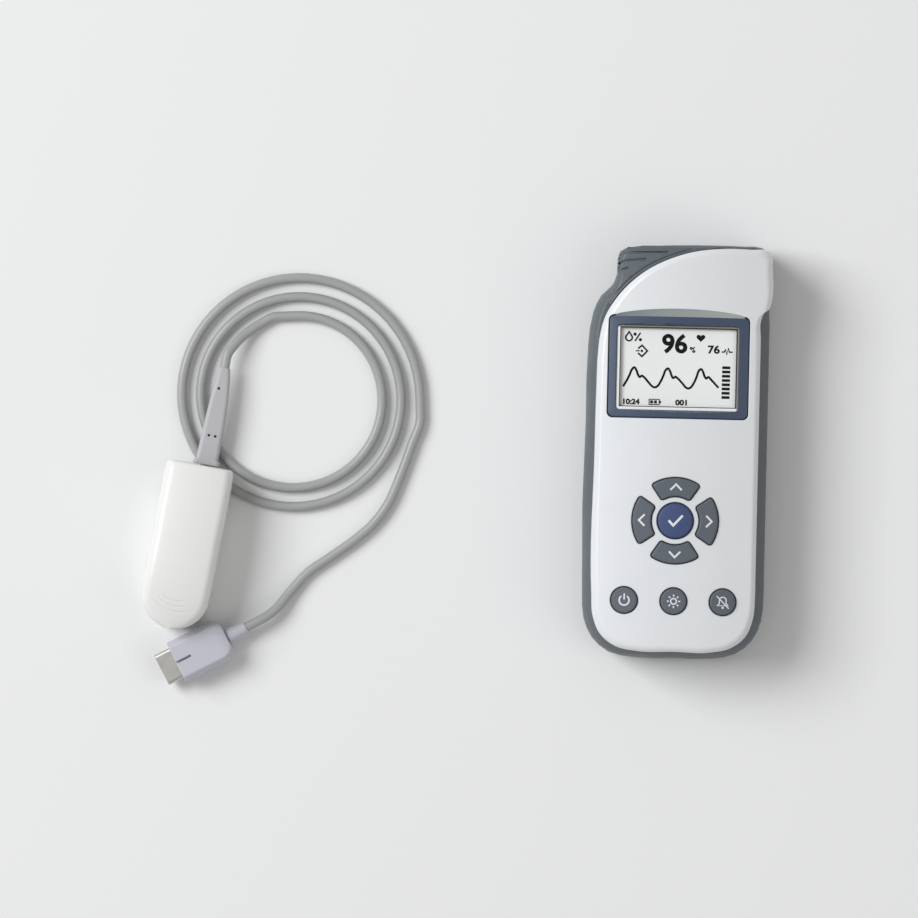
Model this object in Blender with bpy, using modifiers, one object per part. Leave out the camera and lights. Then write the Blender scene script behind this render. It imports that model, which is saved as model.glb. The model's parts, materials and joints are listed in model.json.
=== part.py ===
"""A handheld pulse oximeter and its finger-clip sensor, built piece by piece in metres with +Z up.

The monitor lies on its back. The origin is the centre of its back face, +Y runs to its top end and
+Z to the person who reads it. The sensor lies unplugged at its left, with its cable in loops.
"""

import math

import bmesh
import bpy
from mathutils import Matrix, Vector

# Clearances that all pieces share
fit_gap = 0.0003
overrun = 0.004
weld_distance = 0.00000005

# Cells, which set the size of the battery bay and with it that of the casing
cell_count = 4
cell_radius = 0.0071
cell_length = 0.0492
cell_nub_radius = 0.0027
cell_nub_length = 0.0013
cell_gap = 0.0006
contact_thickness = 0.0004
spring_wire = 0.0005
spring_turns = 4
spring_points = 8
spring_wide_radius = 0.0042
spring_narrow_radius = 0.0026
spring_length = 0.0030
door_thickness = 0.0016
cell_floor_gap = 0.0009
cell_roof_gap = 0.0005
bay_wall = 0.0012
bay_side_gap = 0.0004
bay_end_play = 0.0003
bay_top = -0.0100
cell_pitch = 2 * cell_radius + cell_gap
cell_height = door_thickness + cell_floor_gap + cell_radius
contact_space = contact_thickness + 2 * fit_gap
bay_half_width = cell_count * cell_pitch / 2 + bay_side_gap
bay_roof = cell_height + cell_radius + cell_roof_gap
cell_stack = cell_length + cell_nub_length + spring_length + spring_wire + fit_gap
bay_bottom = bay_top - cell_stack - 2 * contact_space - bay_end_play

# Monitor casing
casing_side_space = 0.0038
casing_foot = 0.0134
board_space = 0.0026
front_rise = 0.0166
half_width = bay_half_width + bay_wall + casing_side_space
half_length = casing_foot - bay_bottom
parting_height = bay_roof + bay_wall + board_space
monitor_depth = parting_height + front_rise
crown_radius = 0.120
crown_step = 0.005
casing_wall = 0.0020
rim_rounding = 0.0026
inner_rounding = 0.0008

# Outlines as shares of the half width and the half length, counterclockwise from the bottom end
rim_outline_shares = [
    (0.0, -0.963), (0.400, -0.963), (0.629, -0.940), (0.789, -0.885), (0.869, -0.800),
    (0.889, -0.688), (0.889, -0.588), (0.889, 0.550), (0.889, 0.644), (0.920, 0.678),
    (0.970, 0.700), (0.990, 0.750), (0.990, 0.913), (0.970, 0.962), (0.895, 0.990),
    (0.714, 0.996), (0.400, 0.998), (0.0, 0.997), (-0.257, 0.994), (-0.560, 0.984),
    (-0.655, 0.966), (-0.680, 0.931), (-0.685, 0.860), (-0.722, 0.800), (-0.800, 0.715),
    (-0.868, 0.625), (-0.905, 0.480), (-0.914, 0.163), (-0.914, -0.688), (-0.894, -0.800),
    (-0.811, -0.885), (-0.651, -0.940), (-0.400, -0.963),
]
flank_outline_shares = [
    (0.0, -1.0), (0.430, -1.0), (0.700, -0.975), (0.886, -0.908), (0.983, -0.813),
    (1.006, -0.688), (1.006, -0.588), (1.006, 0.550), (1.006, 0.625), (1.000, 0.663),
    (0.997, 0.700), (0.997, 0.750), (0.997, 0.913), (0.977, 0.970), (0.900, 1.0),
    (0.714, 1.005), (0.400, 1.0075), (0.0, 1.005), (-0.257, 1.0), (-0.569, 0.989),
    (-0.669, 0.969), (-0.697, 0.931), (-0.703, 0.856), (-0.749, 0.805), (-0.869, 0.753),
    (-0.954, 0.673), (-1.003, 0.511), (-1.011, 0.163), (-1.011, -0.688), (-0.989, -0.813),
    (-0.891, -0.908), (-0.706, -0.975), (-0.430, -1.0),
]
front_outline_shares = [
    (0.0, -0.963), (0.400, -0.963), (0.629, -0.940), (0.789, -0.885), (0.869, -0.800),
    (0.889, -0.688), (0.889, -0.588), (0.889, 0.550), (0.889, 0.644), (0.920, 0.678),
    (0.977, 0.700), (1.003, 0.738), (1.003, 0.900), (0.994, 0.953), (0.943, 0.978),
    (0.771, 0.983), (0.477, 0.984), (0.111, 0.964), (-0.160, 0.925), (-0.397, 0.870),
    (-0.577, 0.805), (-0.720, 0.731), (-0.826, 0.650), (-0.877, 0.569), (-0.900, 0.473),
    (-0.909, 0.311), (-0.914, 0.0), (-0.914, -0.688), (-0.894, -0.800), (-0.811, -0.885),
    (-0.651, -0.940), (-0.400, -0.963),
]
outline_steps = 2
back_face_shares = (0.86, 0.94)
# The flank's height as a share of the parting height, then how far it has left the back face
# and how far it has closed to the rim
flank_station_shares = [
    (0.0, 0.0, 0.0), (0.035, 0.48, 0.0), (0.12, 0.80, 0.0), (0.28, 0.95, 0.0),
    (0.52, 1.0, 0.0), (0.72, 1.0, 0.16), (0.88, 1.0, 0.55),
]

# Neck round the sensor socket
# It follows the rim outline between two of its points, then crosses the inside of the casing
neck_rim_points = (16, 24)
neck_inner_shares = [(-0.690, 0.690), (-0.230, 0.830), (0.343, 0.910)]
neck_shelf = 0.0004
neck_rise = 0.0060
neck_floor = 0.0019
neck_step = 0.0003
neck_rounding = 0.0018
neck_groove_shares = (0.969, 0.929, 0.885)
neck_groove_width = 0.0009
neck_groove_depth = 0.0006
neck_top_height = parting_height + neck_rise

# Plug shell and the socket it fits
hood_length = 0.0220
hood_width = 0.0170
hood_depth = 0.0120
hood_side_wall = 0.0020
plug_shell_width = hood_width - 2 * hood_side_wall
plug_shell_depth = 0.0050
plug_shell_wall = 0.0005
plug_shell_reach = 0.0065
plug_shell_seat = 0.0050
plug_shell_corner = 0.0014
plug_insert_recess = 0.0046
plug_pin_recess = 0.0012
contact_radius = 0.0005
contact_pitch = 0.0020
contact_row_pitch = 0.0017
contact_columns = 5
socket_center_share = -0.371
socket_wall = 0.0010
socket_back = 0.0035
socket_cover = 0.0014
socket_recess = 0.0010
socket_depth_gap = 0.0005
tongue_gap = 0.0004
socket_mouth_width = plug_shell_width + 2 * fit_gap
socket_mouth_height = plug_shell_depth + 2 * fit_gap
socket_mouth_depth = plug_shell_reach + socket_depth_gap
socket_tongue_width = plug_shell_width - 2 * plug_shell_wall - 2 * tongue_gap
socket_tongue_height = plug_shell_depth - 2 * plug_shell_wall - 2 * tongue_gap
socket_tongue_recess = plug_shell_reach - plug_insert_recess + fit_gap
socket_width = socket_mouth_width + 2 * socket_wall
socket_height = socket_mouth_height + 2 * socket_wall
socket_length = socket_mouth_depth + socket_back
socket_center_x = half_width * socket_center_share
socket_center_z = parting_height - socket_cover - socket_height / 2
neck_base_height = socket_center_z - socket_height / 2 - fit_gap - neck_floor

# Display
display_top_share = 0.65375
display_shift = -0.0005
bezel_margin = 0.0080
bezel_length = 0.0392
bezel_width = 2 * (half_width - bezel_margin)
display_center = (display_shift, half_length * display_top_share - bezel_length / 2)
bezel_corner = 0.0022
bezel_sink = 0.0005
bezel_flange = 0.0012
bezel_flange_thickness = 0.0012
view_shift = (-0.00035, -0.0004)
view_side_border = 0.00355
view_end_border = 0.0034
view_center = (display_center[0] + view_shift[0], display_center[1] + view_shift[1])
view_width = bezel_width - 2 * view_side_border
view_length = bezel_length - 2 * view_end_border
view_corner = 0.0012
view_flare = 0.0011
window_thickness = 0.0010
window_margin = 0.0012
lcd_thickness = 0.0026
backlight_wall = 0.0012
crescent_rise = 0.0029
crescent_depth = 0.0007
crescent_points = 7
corner_points = 4

# Board and keypad
board_thickness = 0.0016
board_lift = 0.0014
board_height = parting_height + board_lift
board_shares = [
    (0.55, -0.905), (0.78, -0.80), (0.80, 0.90), (0.74, 0.925), (0.15, 0.90), (-0.20, 0.865),
    (-0.50, 0.77), (-0.72, 0.655), (-0.80, 0.50), (-0.78, -0.80), (-0.55, -0.905),
]
membrane_thickness = 0.0012
dome_radius = 0.0034
dome_height = 0.0014
key_travel = 0.0008
key_proud = 0.0010
key_gap = 0.00035
key_flange = 0.0009
key_flange_thickness = 0.0010
key_stem_radius = 0.0024
key_rounding = 0.0007
keypad_rise = 0.0535
center_key_radius = 0.0068
ring_key_gap = 0.0026
ring_key_width = 0.0071
keypad_center = (display_shift, keypad_rise - half_length)
ring_key_inner_radius = center_key_radius + ring_key_gap
ring_key_outer_radius = ring_key_inner_radius + ring_key_width
ring_key_half_angle = math.radians(34)
ring_key_points = 7
small_key_radius = 0.0050
small_key_rise = 0.0225
small_key_spacing_share = 0.543
small_key_row = small_key_rise - half_length
small_key_spacing = half_width * small_key_spacing_share
membrane_margin = 0.0045

# Fasteners
boss_radius = 0.0038
front_boss_radius = 0.0034
screw_shank_radius = 0.00125
screw_head_radius = 0.0025
screw_head_height = 0.0018
screw_recess = 0.0052
screw_bite = 0.0042
screw_bay_space = 0.0040
upper_screw_shares = [(-0.50, 0.725), (0.7714, 0.85)]
lower_screw_shares = (-0.614, 0.614)
screw_length = parting_height + screw_bite - screw_recess
screw_places = [(x * half_width, y * half_length) for x, y in upper_screw_shares]
screw_places += [(x * half_width, bay_bottom - screw_bay_space) for x in lower_screw_shares]

# Speaker
speaker_place_shares = (0.314, 0.50)
speaker_center = (half_width * speaker_place_shares[0], half_length * speaker_place_shares[1])
speaker_radius = 0.0100
speaker_height = 0.0042
speaker_slot_width = 0.0016
speaker_slot_pitch = 0.0034
speaker_slot_shares = (0.55, 0.85, 1.0, 0.85, 0.55)
speaker_seat_wall = 0.0012

# Battery door
door_side_gap = 0.0008
door_tongue = 0.0013
door_lip = 0.0007
door_end_space = 0.0066
door_travel = 0.0720
door_grip_count = 5
door_grip_pitch = 0.0024
door_grip_width = 0.0180
door_grip_depth = 0.0005
door_ledge_thickness = 0.0014
door_half_width = bay_half_width - door_side_gap
door_shoulder = bay_bottom + door_end_space

# Finger clip, in its own frame: +Y to its front end
clip_place = (-0.18975, -0.0410)
clip_turn = math.radians(-9.45)
clip_length = 0.0645
clip_width = 0.0264
clip_height = 0.0260
clip_wall = 0.0016
clip_floor_lift = 0.0048
# Along the half length: half width, top of the upper jaw, edge of the upper jaw, edge of the
# lower jaw, each as a share of the half width or the height, and the lift of the lower jaw
clip_station_shares = [
    (1.000, 0.90, 0.785, 0.520, 0.425, 1.0), (0.985, 0.955, 0.812, 0.510, 0.430, 1.0),
    (0.950, 0.985, 0.830, 0.505, 0.430, 1.0), (0.880, 1.000, 0.850, 0.500, 0.430, 1.0),
    (0.700, 1.010, 0.892, 0.500, 0.430, 1.0), (0.580, 1.012, 0.918, 0.500, 0.430, 0.85),
    (0.440, 1.012, 0.946, 0.500, 0.430, 0.10), (0.380, 1.010, 0.956, 0.500, 0.430, 0.0),
    (0.100, 1.000, 0.990, 0.500, 0.425, 0.0), (-0.150, 1.000, 1.000, 0.505, 0.405, 0.0),
    (-0.400, 0.998, 0.985, 0.560, 0.320, 0.0), (-0.600, 0.985, 0.950, 0.620, 0.270, 0.0),
    (-0.750, 0.915, 0.905, 0.660, 0.235, 0.0), (-0.870, 0.735, 0.855, 0.685, 0.215, 0.0),
    (-0.950, 0.490, 0.810, 0.700, 0.205, 0.0), (-1.000, 0.170, 0.775, 0.705, 0.200, 0.0),
]
clip_edge_radius = 0.0034
clip_crown = 0.0014
hinge_place_shares = (-0.279, 0.4923)
hinge_y = clip_length / 2 * hinge_place_shares[0]
hinge_z = clip_height * hinge_place_shares[1]
ear_radius = 0.0031
ear_thickness = 0.0018
ear_side_gap = 0.00035
ear_play = 0.0006
pin_radius = 0.0013
pin_gap = 0.00012
pin_end_recess = 0.0002
pin_points = 16
torsion_wire = 0.0009
torsion_radius = 0.0027
torsion_turns = 6
torsion_points = 10
torsion_side_gap = 0.0022
torsion_leg_share = 0.46
torsion_leg = clip_height * torsion_leg_share
torsion_leg_angle = math.radians(42)
pad_end_gap = 0.00065
pad_hinge_gap = 0.0064
pad_side_gap = 0.0012
pad_seat_gap = 0.0008
pad_gap = 0.0008
pad_floor_thickness = 0.0013
pad_roof_thickness = 0.0020
pad_chamfer = 0.0012
upper_pad_seat_drop = 0.0033
channel_edge = 0.0026
channel_flare = 0.0010
channel_points = 8
lens_radius = 0.0030
lens_thickness = 0.0016
lens_place_share = 0.417
grip_center_share = -0.389
grip_center_x = 0.0009
pad_front = clip_length / 2 - clip_wall - pad_end_gap
pad_back = hinge_y + ear_radius + pad_hinge_gap
pad_half_width = clip_width / 2 - clip_wall - pad_side_gap
channel_half_width = pad_half_width - channel_edge
lower_pad_seat = clip_floor_lift + clip_wall + pad_seat_gap
channel_floor = lower_pad_seat + pad_floor_thickness
lens_y = pad_front * lens_place_share
grip_center_y = clip_length / 2 * grip_center_share
grip_radii = (0.0087, 0.0108, 0.0129)
grip_middle_angle = math.radians(259)
grip_half_angle = math.radians(32)
grip_points = 8
grip_width = 0.0008
grip_depth = 0.0006

# Cable
cable_diameter = 0.0038
cable_rest_height = 0.00196
spiral_center = (-0.1483, 0.0181)
spiral_start_radius = 0.0483
spiral_pitch = 0.0074
spiral_turns = 2.25
spiral_start_angle = math.radians(1.3)
turn_points = 24
route_steps = 2

# Boot at the clip
boot_x = 0.0018
boot_length = 0.0385
boot_floor_gap = 0.0001
# Along the boot: its share of the length, half width and half thickness as shares of the base's
boot_half_width = 0.0052
boot_half_thickness = 0.0021
boot_axis_height = clip_floor_lift + boot_floor_gap + boot_half_thickness
boot_station_shares = [
    (0.0, 1.0, 1.0), (0.05, 1.0, 1.0), (0.07, 0.81, 0.98), (0.32, 0.76, 0.98),
    (0.62, 0.66, 0.98), (0.80, 0.54, 0.98), (1.0, 0.43, 0.96),
]
boot_corner_share = 0.45
boot_dimples = [(-0.0010, 0.0116), (0.0015, 0.0116), (-0.0006, 0.0302)]
boot_dimple_radius = 0.0005
boot_dimple_depth = 0.0008

# Plug
plug_place = (-0.19235, -0.08629)
plug_turn = math.radians(28.3 - 90)
hood_chamfer = 0.0021
hood_slot_width = 0.0022
hood_slot_length = 0.0060
hood_slot_depth = 0.0012
hood_back_shares = [(0.0, 1.0), (0.80, 1.0), (0.93, 0.86), (1.0, 0.62)]
plug_boot_length = 0.0080
plug_boot_radius = 0.0031

# The cable's hand-chosen route from the plug's boot to the first loop, and from the last loop to
# the clip's boot
tail_route = [
    (-0.1552, -0.0655, 0.0046), (-0.1490, -0.0580, 0.0026), (-0.1425, -0.0505, 0.00196),
    (-0.1338, -0.0441, 0.00196), (-0.1248, -0.0375, 0.00196), (-0.1175, -0.0310, 0.00196),
    (-0.1119, -0.0233, 0.00196), (-0.1073, -0.0125, 0.00196), (-0.1030, 0.0000, 0.00196),
]
lead_route = [
    (-0.1620, 0.0468, 0.00196), (-0.1675, 0.0430, 0.0031), (-0.1722, 0.0384, 0.0053),
]

cable_radius = cable_diameter / 2
rim_height = parting_height - fit_gap / 2
front_height = parting_height + fit_gap / 2


def clear_scene():
    for item in list(bpy.data.objects):
        bpy.data.objects.remove(item, do_unlink=True)


def new_collection(name):
    collection = bpy.data.collections.new(name)
    bpy.context.scene.collection.children.link(collection)
    return collection


clear_scene()
parts = new_collection("pulse_oximeter")
cutters = new_collection("cutters")


def new_material(name, color, roughness, metallic=0.0):
    material = bpy.data.materials.new(name)
    material.use_nodes = True
    shader = material.node_tree.nodes["Principled BSDF"]
    shader.inputs["Base Color"].default_value = (*color, 1.0)
    shader.inputs["Roughness"].default_value = roughness
    shader.inputs["Metallic"].default_value = metallic
    material.diffuse_color = (*color, 1.0)
    return material


shell_white = new_material("shell_white", (0.78, 0.80, 0.82), 0.35)
shell_grey = new_material("shell_grey", (0.11, 0.13, 0.14), 0.5)
bezel_blue = new_material("bezel_blue", (0.045, 0.055, 0.11), 0.4)
clear_window = new_material("clear_window", (0.85, 0.87, 0.88), 0.05)
lcd_pale = new_material("lcd_pale", (0.76, 0.78, 0.76), 0.3)
frame_white = new_material("frame_white", (0.8, 0.8, 0.78), 0.5)
board_green = new_material("board_green", (0.03, 0.16, 0.07), 0.5)
silicone_grey = new_material("silicone_grey", (0.35, 0.36, 0.37), 0.7)
key_grey = new_material("key_grey", (0.13, 0.15, 0.17), 0.55)
key_blue = new_material("key_blue", (0.06, 0.10, 0.22), 0.5)
socket_black = new_material("socket_black", (0.02, 0.02, 0.02), 0.5)
steel = new_material("steel", (0.6, 0.6, 0.6), 0.3, 1.0)
nickel = new_material("nickel", (0.65, 0.63, 0.58), 0.3, 1.0)
cell_wrap = new_material("cell_wrap", (0.08, 0.10, 0.14), 0.35)
clip_white = new_material("clip_white", (0.93, 0.93, 0.91), 0.35)
pad_grey = new_material("pad_grey", (0.45, 0.46, 0.47), 0.7)
lens_dark = new_material("lens_dark", (0.08, 0.02, 0.02), 0.1)
cable_grey = new_material("cable_grey", (0.28, 0.29, 0.29), 0.45)
hood_grey = new_material("hood_grey", (0.55, 0.56, 0.62), 0.45)


def add_object(name, mesh, material=None, parent=None):
    """Puts a mesh in the scene as a part or, with no material, as a cutter."""
    item = bpy.data.objects.new(name, mesh)
    if material is None:
        cutters.objects.link(item)
        item.hide_render = True
        item.display_type = "WIRE"
    else:
        parts.objects.link(item)
        mesh.materials.append(material)
    item.parent = parent
    return item


def mesh_of(name, builder):
    mesh = bpy.data.meshes.new(name)
    builder.to_mesh(mesh)
    builder.free()
    return mesh


def add_built(name, builder, material=None, parent=None):
    bmesh.ops.recalc_face_normals(builder, faces=builder.faces)
    return add_object(name, mesh_of(name, builder), material, parent)


def shade(item, angle=math.radians(35)):
    item.data.shade_smooth()
    item.data.set_sharp_from_angle(angle=angle)
    return item


def cut(item, cutter, operation="DIFFERENCE"):
    modifier = item.modifiers.new(operation.lower() + "_" + cutter.name, "BOOLEAN")
    modifier.operation = operation
    modifier.object = cutter
    return modifier


def join(item, other):
    return cut(item, other, "UNION")


def add_box(builder, low, high):
    """Adds a box between two corners to a bmesh."""
    size = [b - a for a, b in zip(low, high)]
    middle = [(a + b) / 2 for a, b in zip(low, high)]
    matrix = Matrix.Translation(middle) @ Matrix.Diagonal((*size, 1))
    bmesh.ops.create_cube(builder, size=1, matrix=matrix)


def box(name, low, high, material=None, parent=None):
    builder = bmesh.new()
    add_box(builder, low, high)
    return add_built(name, builder, material, parent)


def boxes(name, corners, parent=None):
    builder = bmesh.new()
    for low, high in corners:
        add_box(builder, low, high)
    return add_built(name, builder, None, parent)


def add_cylinder(builder, center, radius, low, high, axis="Z", points=24):
    """Adds a cylinder to a bmesh: center is on its axis, low and high are places along it."""
    turn = {
        "Z": Matrix.Identity(4),
        "X": Matrix.Rotation(math.radians(90), 4, "Y"),
        "Y": Matrix.Rotation(math.radians(-90), 4, "X"),
    }[axis]
    place = Vector(center)
    place["XYZ".index(axis)] = (low + high) / 2
    matrix = Matrix.Translation(place) @ turn
    bmesh.ops.create_cone(
        builder, cap_ends=True, segments=points, radius1=radius, radius2=radius,
        depth=high - low, matrix=matrix,
    )


def cylinder(name, center, radius, low, high, axis="Z", points=24, material=None, parent=None):
    builder = bmesh.new()
    add_cylinder(builder, center, radius, low, high, axis, points)
    return add_built(name, builder, material, parent)


def evaluated_mesh(item):
    bpy.context.view_layer.update()
    graph = bpy.context.evaluated_depsgraph_get()
    return bpy.data.meshes.new_from_object(item.evaluated_get(graph))


def curve_to_mesh(name, guide, material=None, parent=None):
    """Makes a curve a mesh with its caps welded, in the curve's place."""
    mesh = evaluated_mesh(guide)
    builder = bmesh.new()
    builder.from_mesh(mesh)
    bmesh.ops.remove_doubles(builder, verts=builder.verts, dist=weld_distance)
    bpy.data.meshes.remove(mesh)
    item = add_built(name, builder, material, parent)
    if parent is None:
        item.matrix_world = guide.matrix_world.copy()
    else:
        item.matrix_local = guide.matrix_local.copy()
    bpy.data.objects.remove(guide, do_unlink=True)
    return item


def prism(name, outline, low, high, material=None, parent=None):
    """A flat outline in X and Y, extruded from low to high."""
    curve = bpy.data.curves.new(name, "CURVE")
    curve.dimensions = "2D"
    curve.fill_mode = "BOTH"
    curve.extrude = (high - low) / 2
    spline = curve.splines.new("POLY")
    spline.points.add(len(outline) - 1)
    for point, (x, y) in zip(spline.points, outline):
        point.co = (x, y, 0, 1)
    spline.use_cyclic_u = True
    guide = bpy.data.objects.new(name + "_guide", curve)
    cutters.objects.link(guide)
    guide.location.z = (low + high) / 2
    return curve_to_mesh(name, guide, material, parent)


def tube(name, points, radius, resolution, material, parent=None):
    """A round wire or cable along points, with filled caps."""
    curve = bpy.data.curves.new(name, "CURVE")
    curve.dimensions = "3D"
    curve.bevel_depth = radius
    curve.bevel_resolution = resolution
    curve.use_fill_caps = True
    spline = curve.splines.new("POLY")
    spline.points.add(len(points) - 1)
    for point, place in zip(spline.points, points):
        point.co = (*place, 1)
    guide = bpy.data.objects.new(name + "_guide", curve)
    cutters.objects.link(guide)
    return shade(curve_to_mesh(name, guide, material, parent))


def lofted(rings, cap_low=True, cap_high=True):
    """A bmesh of closed rings of equal count, joined in order."""
    builder = bmesh.new()
    rows = [[builder.verts.new(point) for point in ring] for ring in rings]
    for low, high in zip(rows, rows[1:]):
        for i, point in enumerate(low):
            after = (i + 1) % len(low)
            builder.faces.new((point, low[after], high[after], high[i]))
    if cap_low:
        builder.faces.new(rows[0][::-1])
    if cap_high:
        builder.faces.new(rows[-1])
    return builder


def tangent_at(before, point, after):
    """The direction of a smooth curve at a point, led by the shorter of its two chords."""
    back = point - before
    ahead = after - point
    return (back.normalized() * ahead.length + ahead.normalized() * back.length).normalized()


def span_points(start, end, start_way, end_way, steps):
    chord = (end - start).length
    points = []
    for k in range(steps):
        t = k / steps
        points.append(
            start * (2 * t**3 - 3 * t**2 + 1) + start_way * chord * (t**3 - 2 * t**2 + t)
            + end * (3 * t**2 - 2 * t**3) + end_way * chord * (t**3 - t**2)
        )
    return points


def smooth_closed(outline, steps):
    """Points along a smooth closed curve through an outline's points."""
    places = [Vector(point) for point in outline]
    count = len(places)
    ways = [tangent_at(places[i - 1], places[i], places[(i + 1) % count]) for i in range(count)]
    points = []
    for i in range(count):
        after = (i + 1) % count
        points += span_points(places[i], places[after], ways[i], ways[after], steps)
    return [tuple(point) for point in points]


def smooth_open(route, steps):
    """Points along a smooth curve through a route, whose first and last spans stay straight."""
    places = [Vector(point) for point in route]
    ways = [tangent_at(*places[i - 1 : i + 2]) for i in range(1, len(places) - 1)]
    ways[0] = (places[1] - places[0]).normalized()
    ways[-1] = (places[-1] - places[-2]).normalized()
    points = [places[0]]
    for i in range(1, len(places) - 2):
        points += span_points(places[i], places[i + 1], ways[i - 1], ways[i], steps)
    return points + places[-2:]


def sized(shares):
    """An outline in metres from shares of the monitor's half width and half length."""
    return [(x * half_width, y * half_length) for x, y in shares]


def inset(outline, distance):
    """The outline drawn in towards the origin by a distance at its sides and ends."""
    x_share = 1 - distance / half_width
    y_share = 1 - distance / half_length
    return [(x * x_share, y * y_share) for x, y in outline]


def blended(first, second, share):
    return [
        (a[0] + (b[0] - a[0]) * share, a[1] + (b[1] - a[1]) * share)
        for a, b in zip(first, second)
    ]


def at_height(outline, z):
    return [(x, y, z) for x, y in outline]


def rounded_rectangle(center, width, length, corner, points=corner_points):
    outline = []
    for x_side, y_side, start in ((1, 1, 0), (-1, 1, 90), (-1, -1, 180), (1, -1, 270)):
        x = center[0] + x_side * (width / 2 - corner)
        y = center[1] + y_side * (length / 2 - corner)
        for k in range(points):
            angle = math.radians(start + 90 * k / (points - 1))
            outline.append((x + corner * math.cos(angle), y + corner * math.sin(angle)))
    return outline


def circle(center, radius, points=24):
    return [
        (
            center[0] + radius * math.cos(math.tau * k / points),
            center[1] + radius * math.sin(math.tau * k / points),
        )
        for k in range(points)
    ]


def arc_drop(x):
    return crown_radius - math.sqrt(crown_radius**2 - x**2)


def crown_drop(x):
    """How far the crowned face lies below its middle line, straight between the crown's steps."""
    step = math.floor(x / crown_step)
    share = x / crown_step - step
    low, high = arc_drop(step * crown_step), arc_drop((step + 1) * crown_step)
    return low + (high - low) * share


def crown_height(x):
    return monitor_depth - crown_drop(x)


def crown(builder, above):
    """Bends everything above a height down to the crowned face, with an edge at each step."""
    reach = math.ceil(half_width / crown_step)
    for k in range(-reach, reach + 1):
        bmesh.ops.bisect_plane(
            builder, geom=builder.verts[:] + builder.edges[:] + builder.faces[:],
            dist=weld_distance, plane_co=(k * crown_step, 0, 0), plane_no=(1, 0, 0),
        )
    for point in builder.verts:
        if point.co.z > above:
            point.co.z -= crown_drop(point.co.x)


def crowned_prism(name, outline, low, high, above, material=None):
    builder = lofted([at_height(outline, low), at_height(outline, high)])
    crown(builder, above)
    return add_built(name, builder, material)


rim_outline = smooth_closed(sized(rim_outline_shares), outline_steps)
flank_outline = smooth_closed(sized(flank_outline_shares), outline_steps)
front_outline = smooth_closed(sized(front_outline_shares), outline_steps)
back_outline = [(x * back_face_shares[0], y * back_face_shares[1]) for x, y in flank_outline]


def flank_outlines():
    """The rear casing's outlines and their heights, from its flat back to its rim."""
    levels = []
    for height_share, spread, close in flank_station_shares:
        outline = blended(blended(back_outline, flank_outline, spread), rim_outline, close)
        levels.append((outline, height_share * parting_height))
    return levels + [(rim_outline, rim_height)]


def flank_rings():
    return [at_height(outline, z) for outline, z in flank_outlines()]


def flank_inner_rings():
    """The rear casing's hollow, one wall inside its outer surface and open at the rim."""
    rings = []
    for outline, z in flank_outlines()[:-1]:
        height = casing_wall + z * (parting_height - casing_wall) / parting_height
        rings.append(at_height(inset(outline, casing_wall), height))
    rings.append(at_height(inset(rim_outline, casing_wall), rim_height))
    rings.append(at_height(inset(rim_outline, casing_wall), rim_height + overrun))
    return rings


def front_rings():
    """The front casing's outer surface, from its lower edge over the rounded rim."""
    rings = [at_height(front_outline, front_height)]
    for k in range(4):
        angle = math.radians(90) * k / 3
        drawn_in = rim_rounding * (1 - math.cos(angle))
        height = monitor_depth - rim_rounding * (1 - math.sin(angle))
        rings.append(at_height(inset(front_outline, drawn_in), height))
    return rings


def front_inner_rings():
    """The front casing's hollow, one wall inside its outer surface and open at the lower edge."""
    top = monitor_depth - casing_wall
    return [
        at_height(inset(front_outline, casing_wall), front_height - overrun),
        at_height(inset(front_outline, casing_wall), top - inner_rounding),
        at_height(inset(front_outline, casing_wall + inner_rounding), top),
    ]


# Front casing
def build_front_shell():
    builder = lofted(front_rings())
    crown(builder, above=parting_height + rim_rounding)
    shell = add_built("front_shell", builder, shell_white)
    hollow = lofted(front_inner_rings())
    crown(hollow, above=parting_height + rim_rounding)
    cut(shell, add_built("front_hollow", hollow))

    bosses = bmesh.new()
    for x, y in screw_places:
        top = crown_height(x) - casing_wall * 0.65
        add_cylinder(bosses, (x, y, 0), front_boss_radius, front_height, top)
    join(shell, add_built("front_bosses", bosses))

    holes = bmesh.new()
    for x, y in screw_places:
        top = screw_recess + screw_length + fit_gap
        add_cylinder(holes, (x, y, 0), screw_shank_radius + fit_gap, 0, top, points=12)
    cut(shell, add_built("front_screw_holes", holes))

    opening = rounded_rectangle(
        display_center, bezel_width + 2 * fit_gap, bezel_length + 2 * fit_gap, bezel_corner
    )
    top = monitor_depth + overrun
    cut(shell, prism("display_opening", opening, parting_height, top))

    left = display_center[0] - bezel_width / 2
    bezel_top = display_center[1] + bezel_length / 2
    crescent = [(left, bezel_top - bezel_corner), (left + bezel_width, bezel_top - bezel_corner)]
    for k in range(crescent_points + 1):
        share = k / crescent_points
        rise = crescent_rise * math.sin(math.pi * share) ** 0.5
        crescent.append((left + bezel_width * (1 - share), bezel_top + rise))
    recess = crowned_prism(
        "crescent_recess", crescent, monitor_depth - crescent_depth, top, above=parting_height
    )
    cut(shell, recess)

    for name, outline in key_outlines().items():
        hole = grown(outline, key_gap)
        cut(shell, prism("hole_" + name, hole, board_height, top))
    return shade(shell)


def grown(outline, distance):
    """A small outline pushed outwards by a distance along its own normals."""
    count = len(outline)
    points = []
    for i in range(count):
        before = Vector(outline[i - 1])
        point = Vector(outline[i])
        after = Vector(outline[(i + 1) % count])
        back = (point - before).normalized()
        ahead = (after - point).normalized()
        normal = Vector((back.y + ahead.y, -back.x - ahead.x)).normalized()
        share = max(normal.dot(Vector((ahead.y, -ahead.x))), 0.5)
        points.append(tuple(point + normal * distance / share))
    return points


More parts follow.
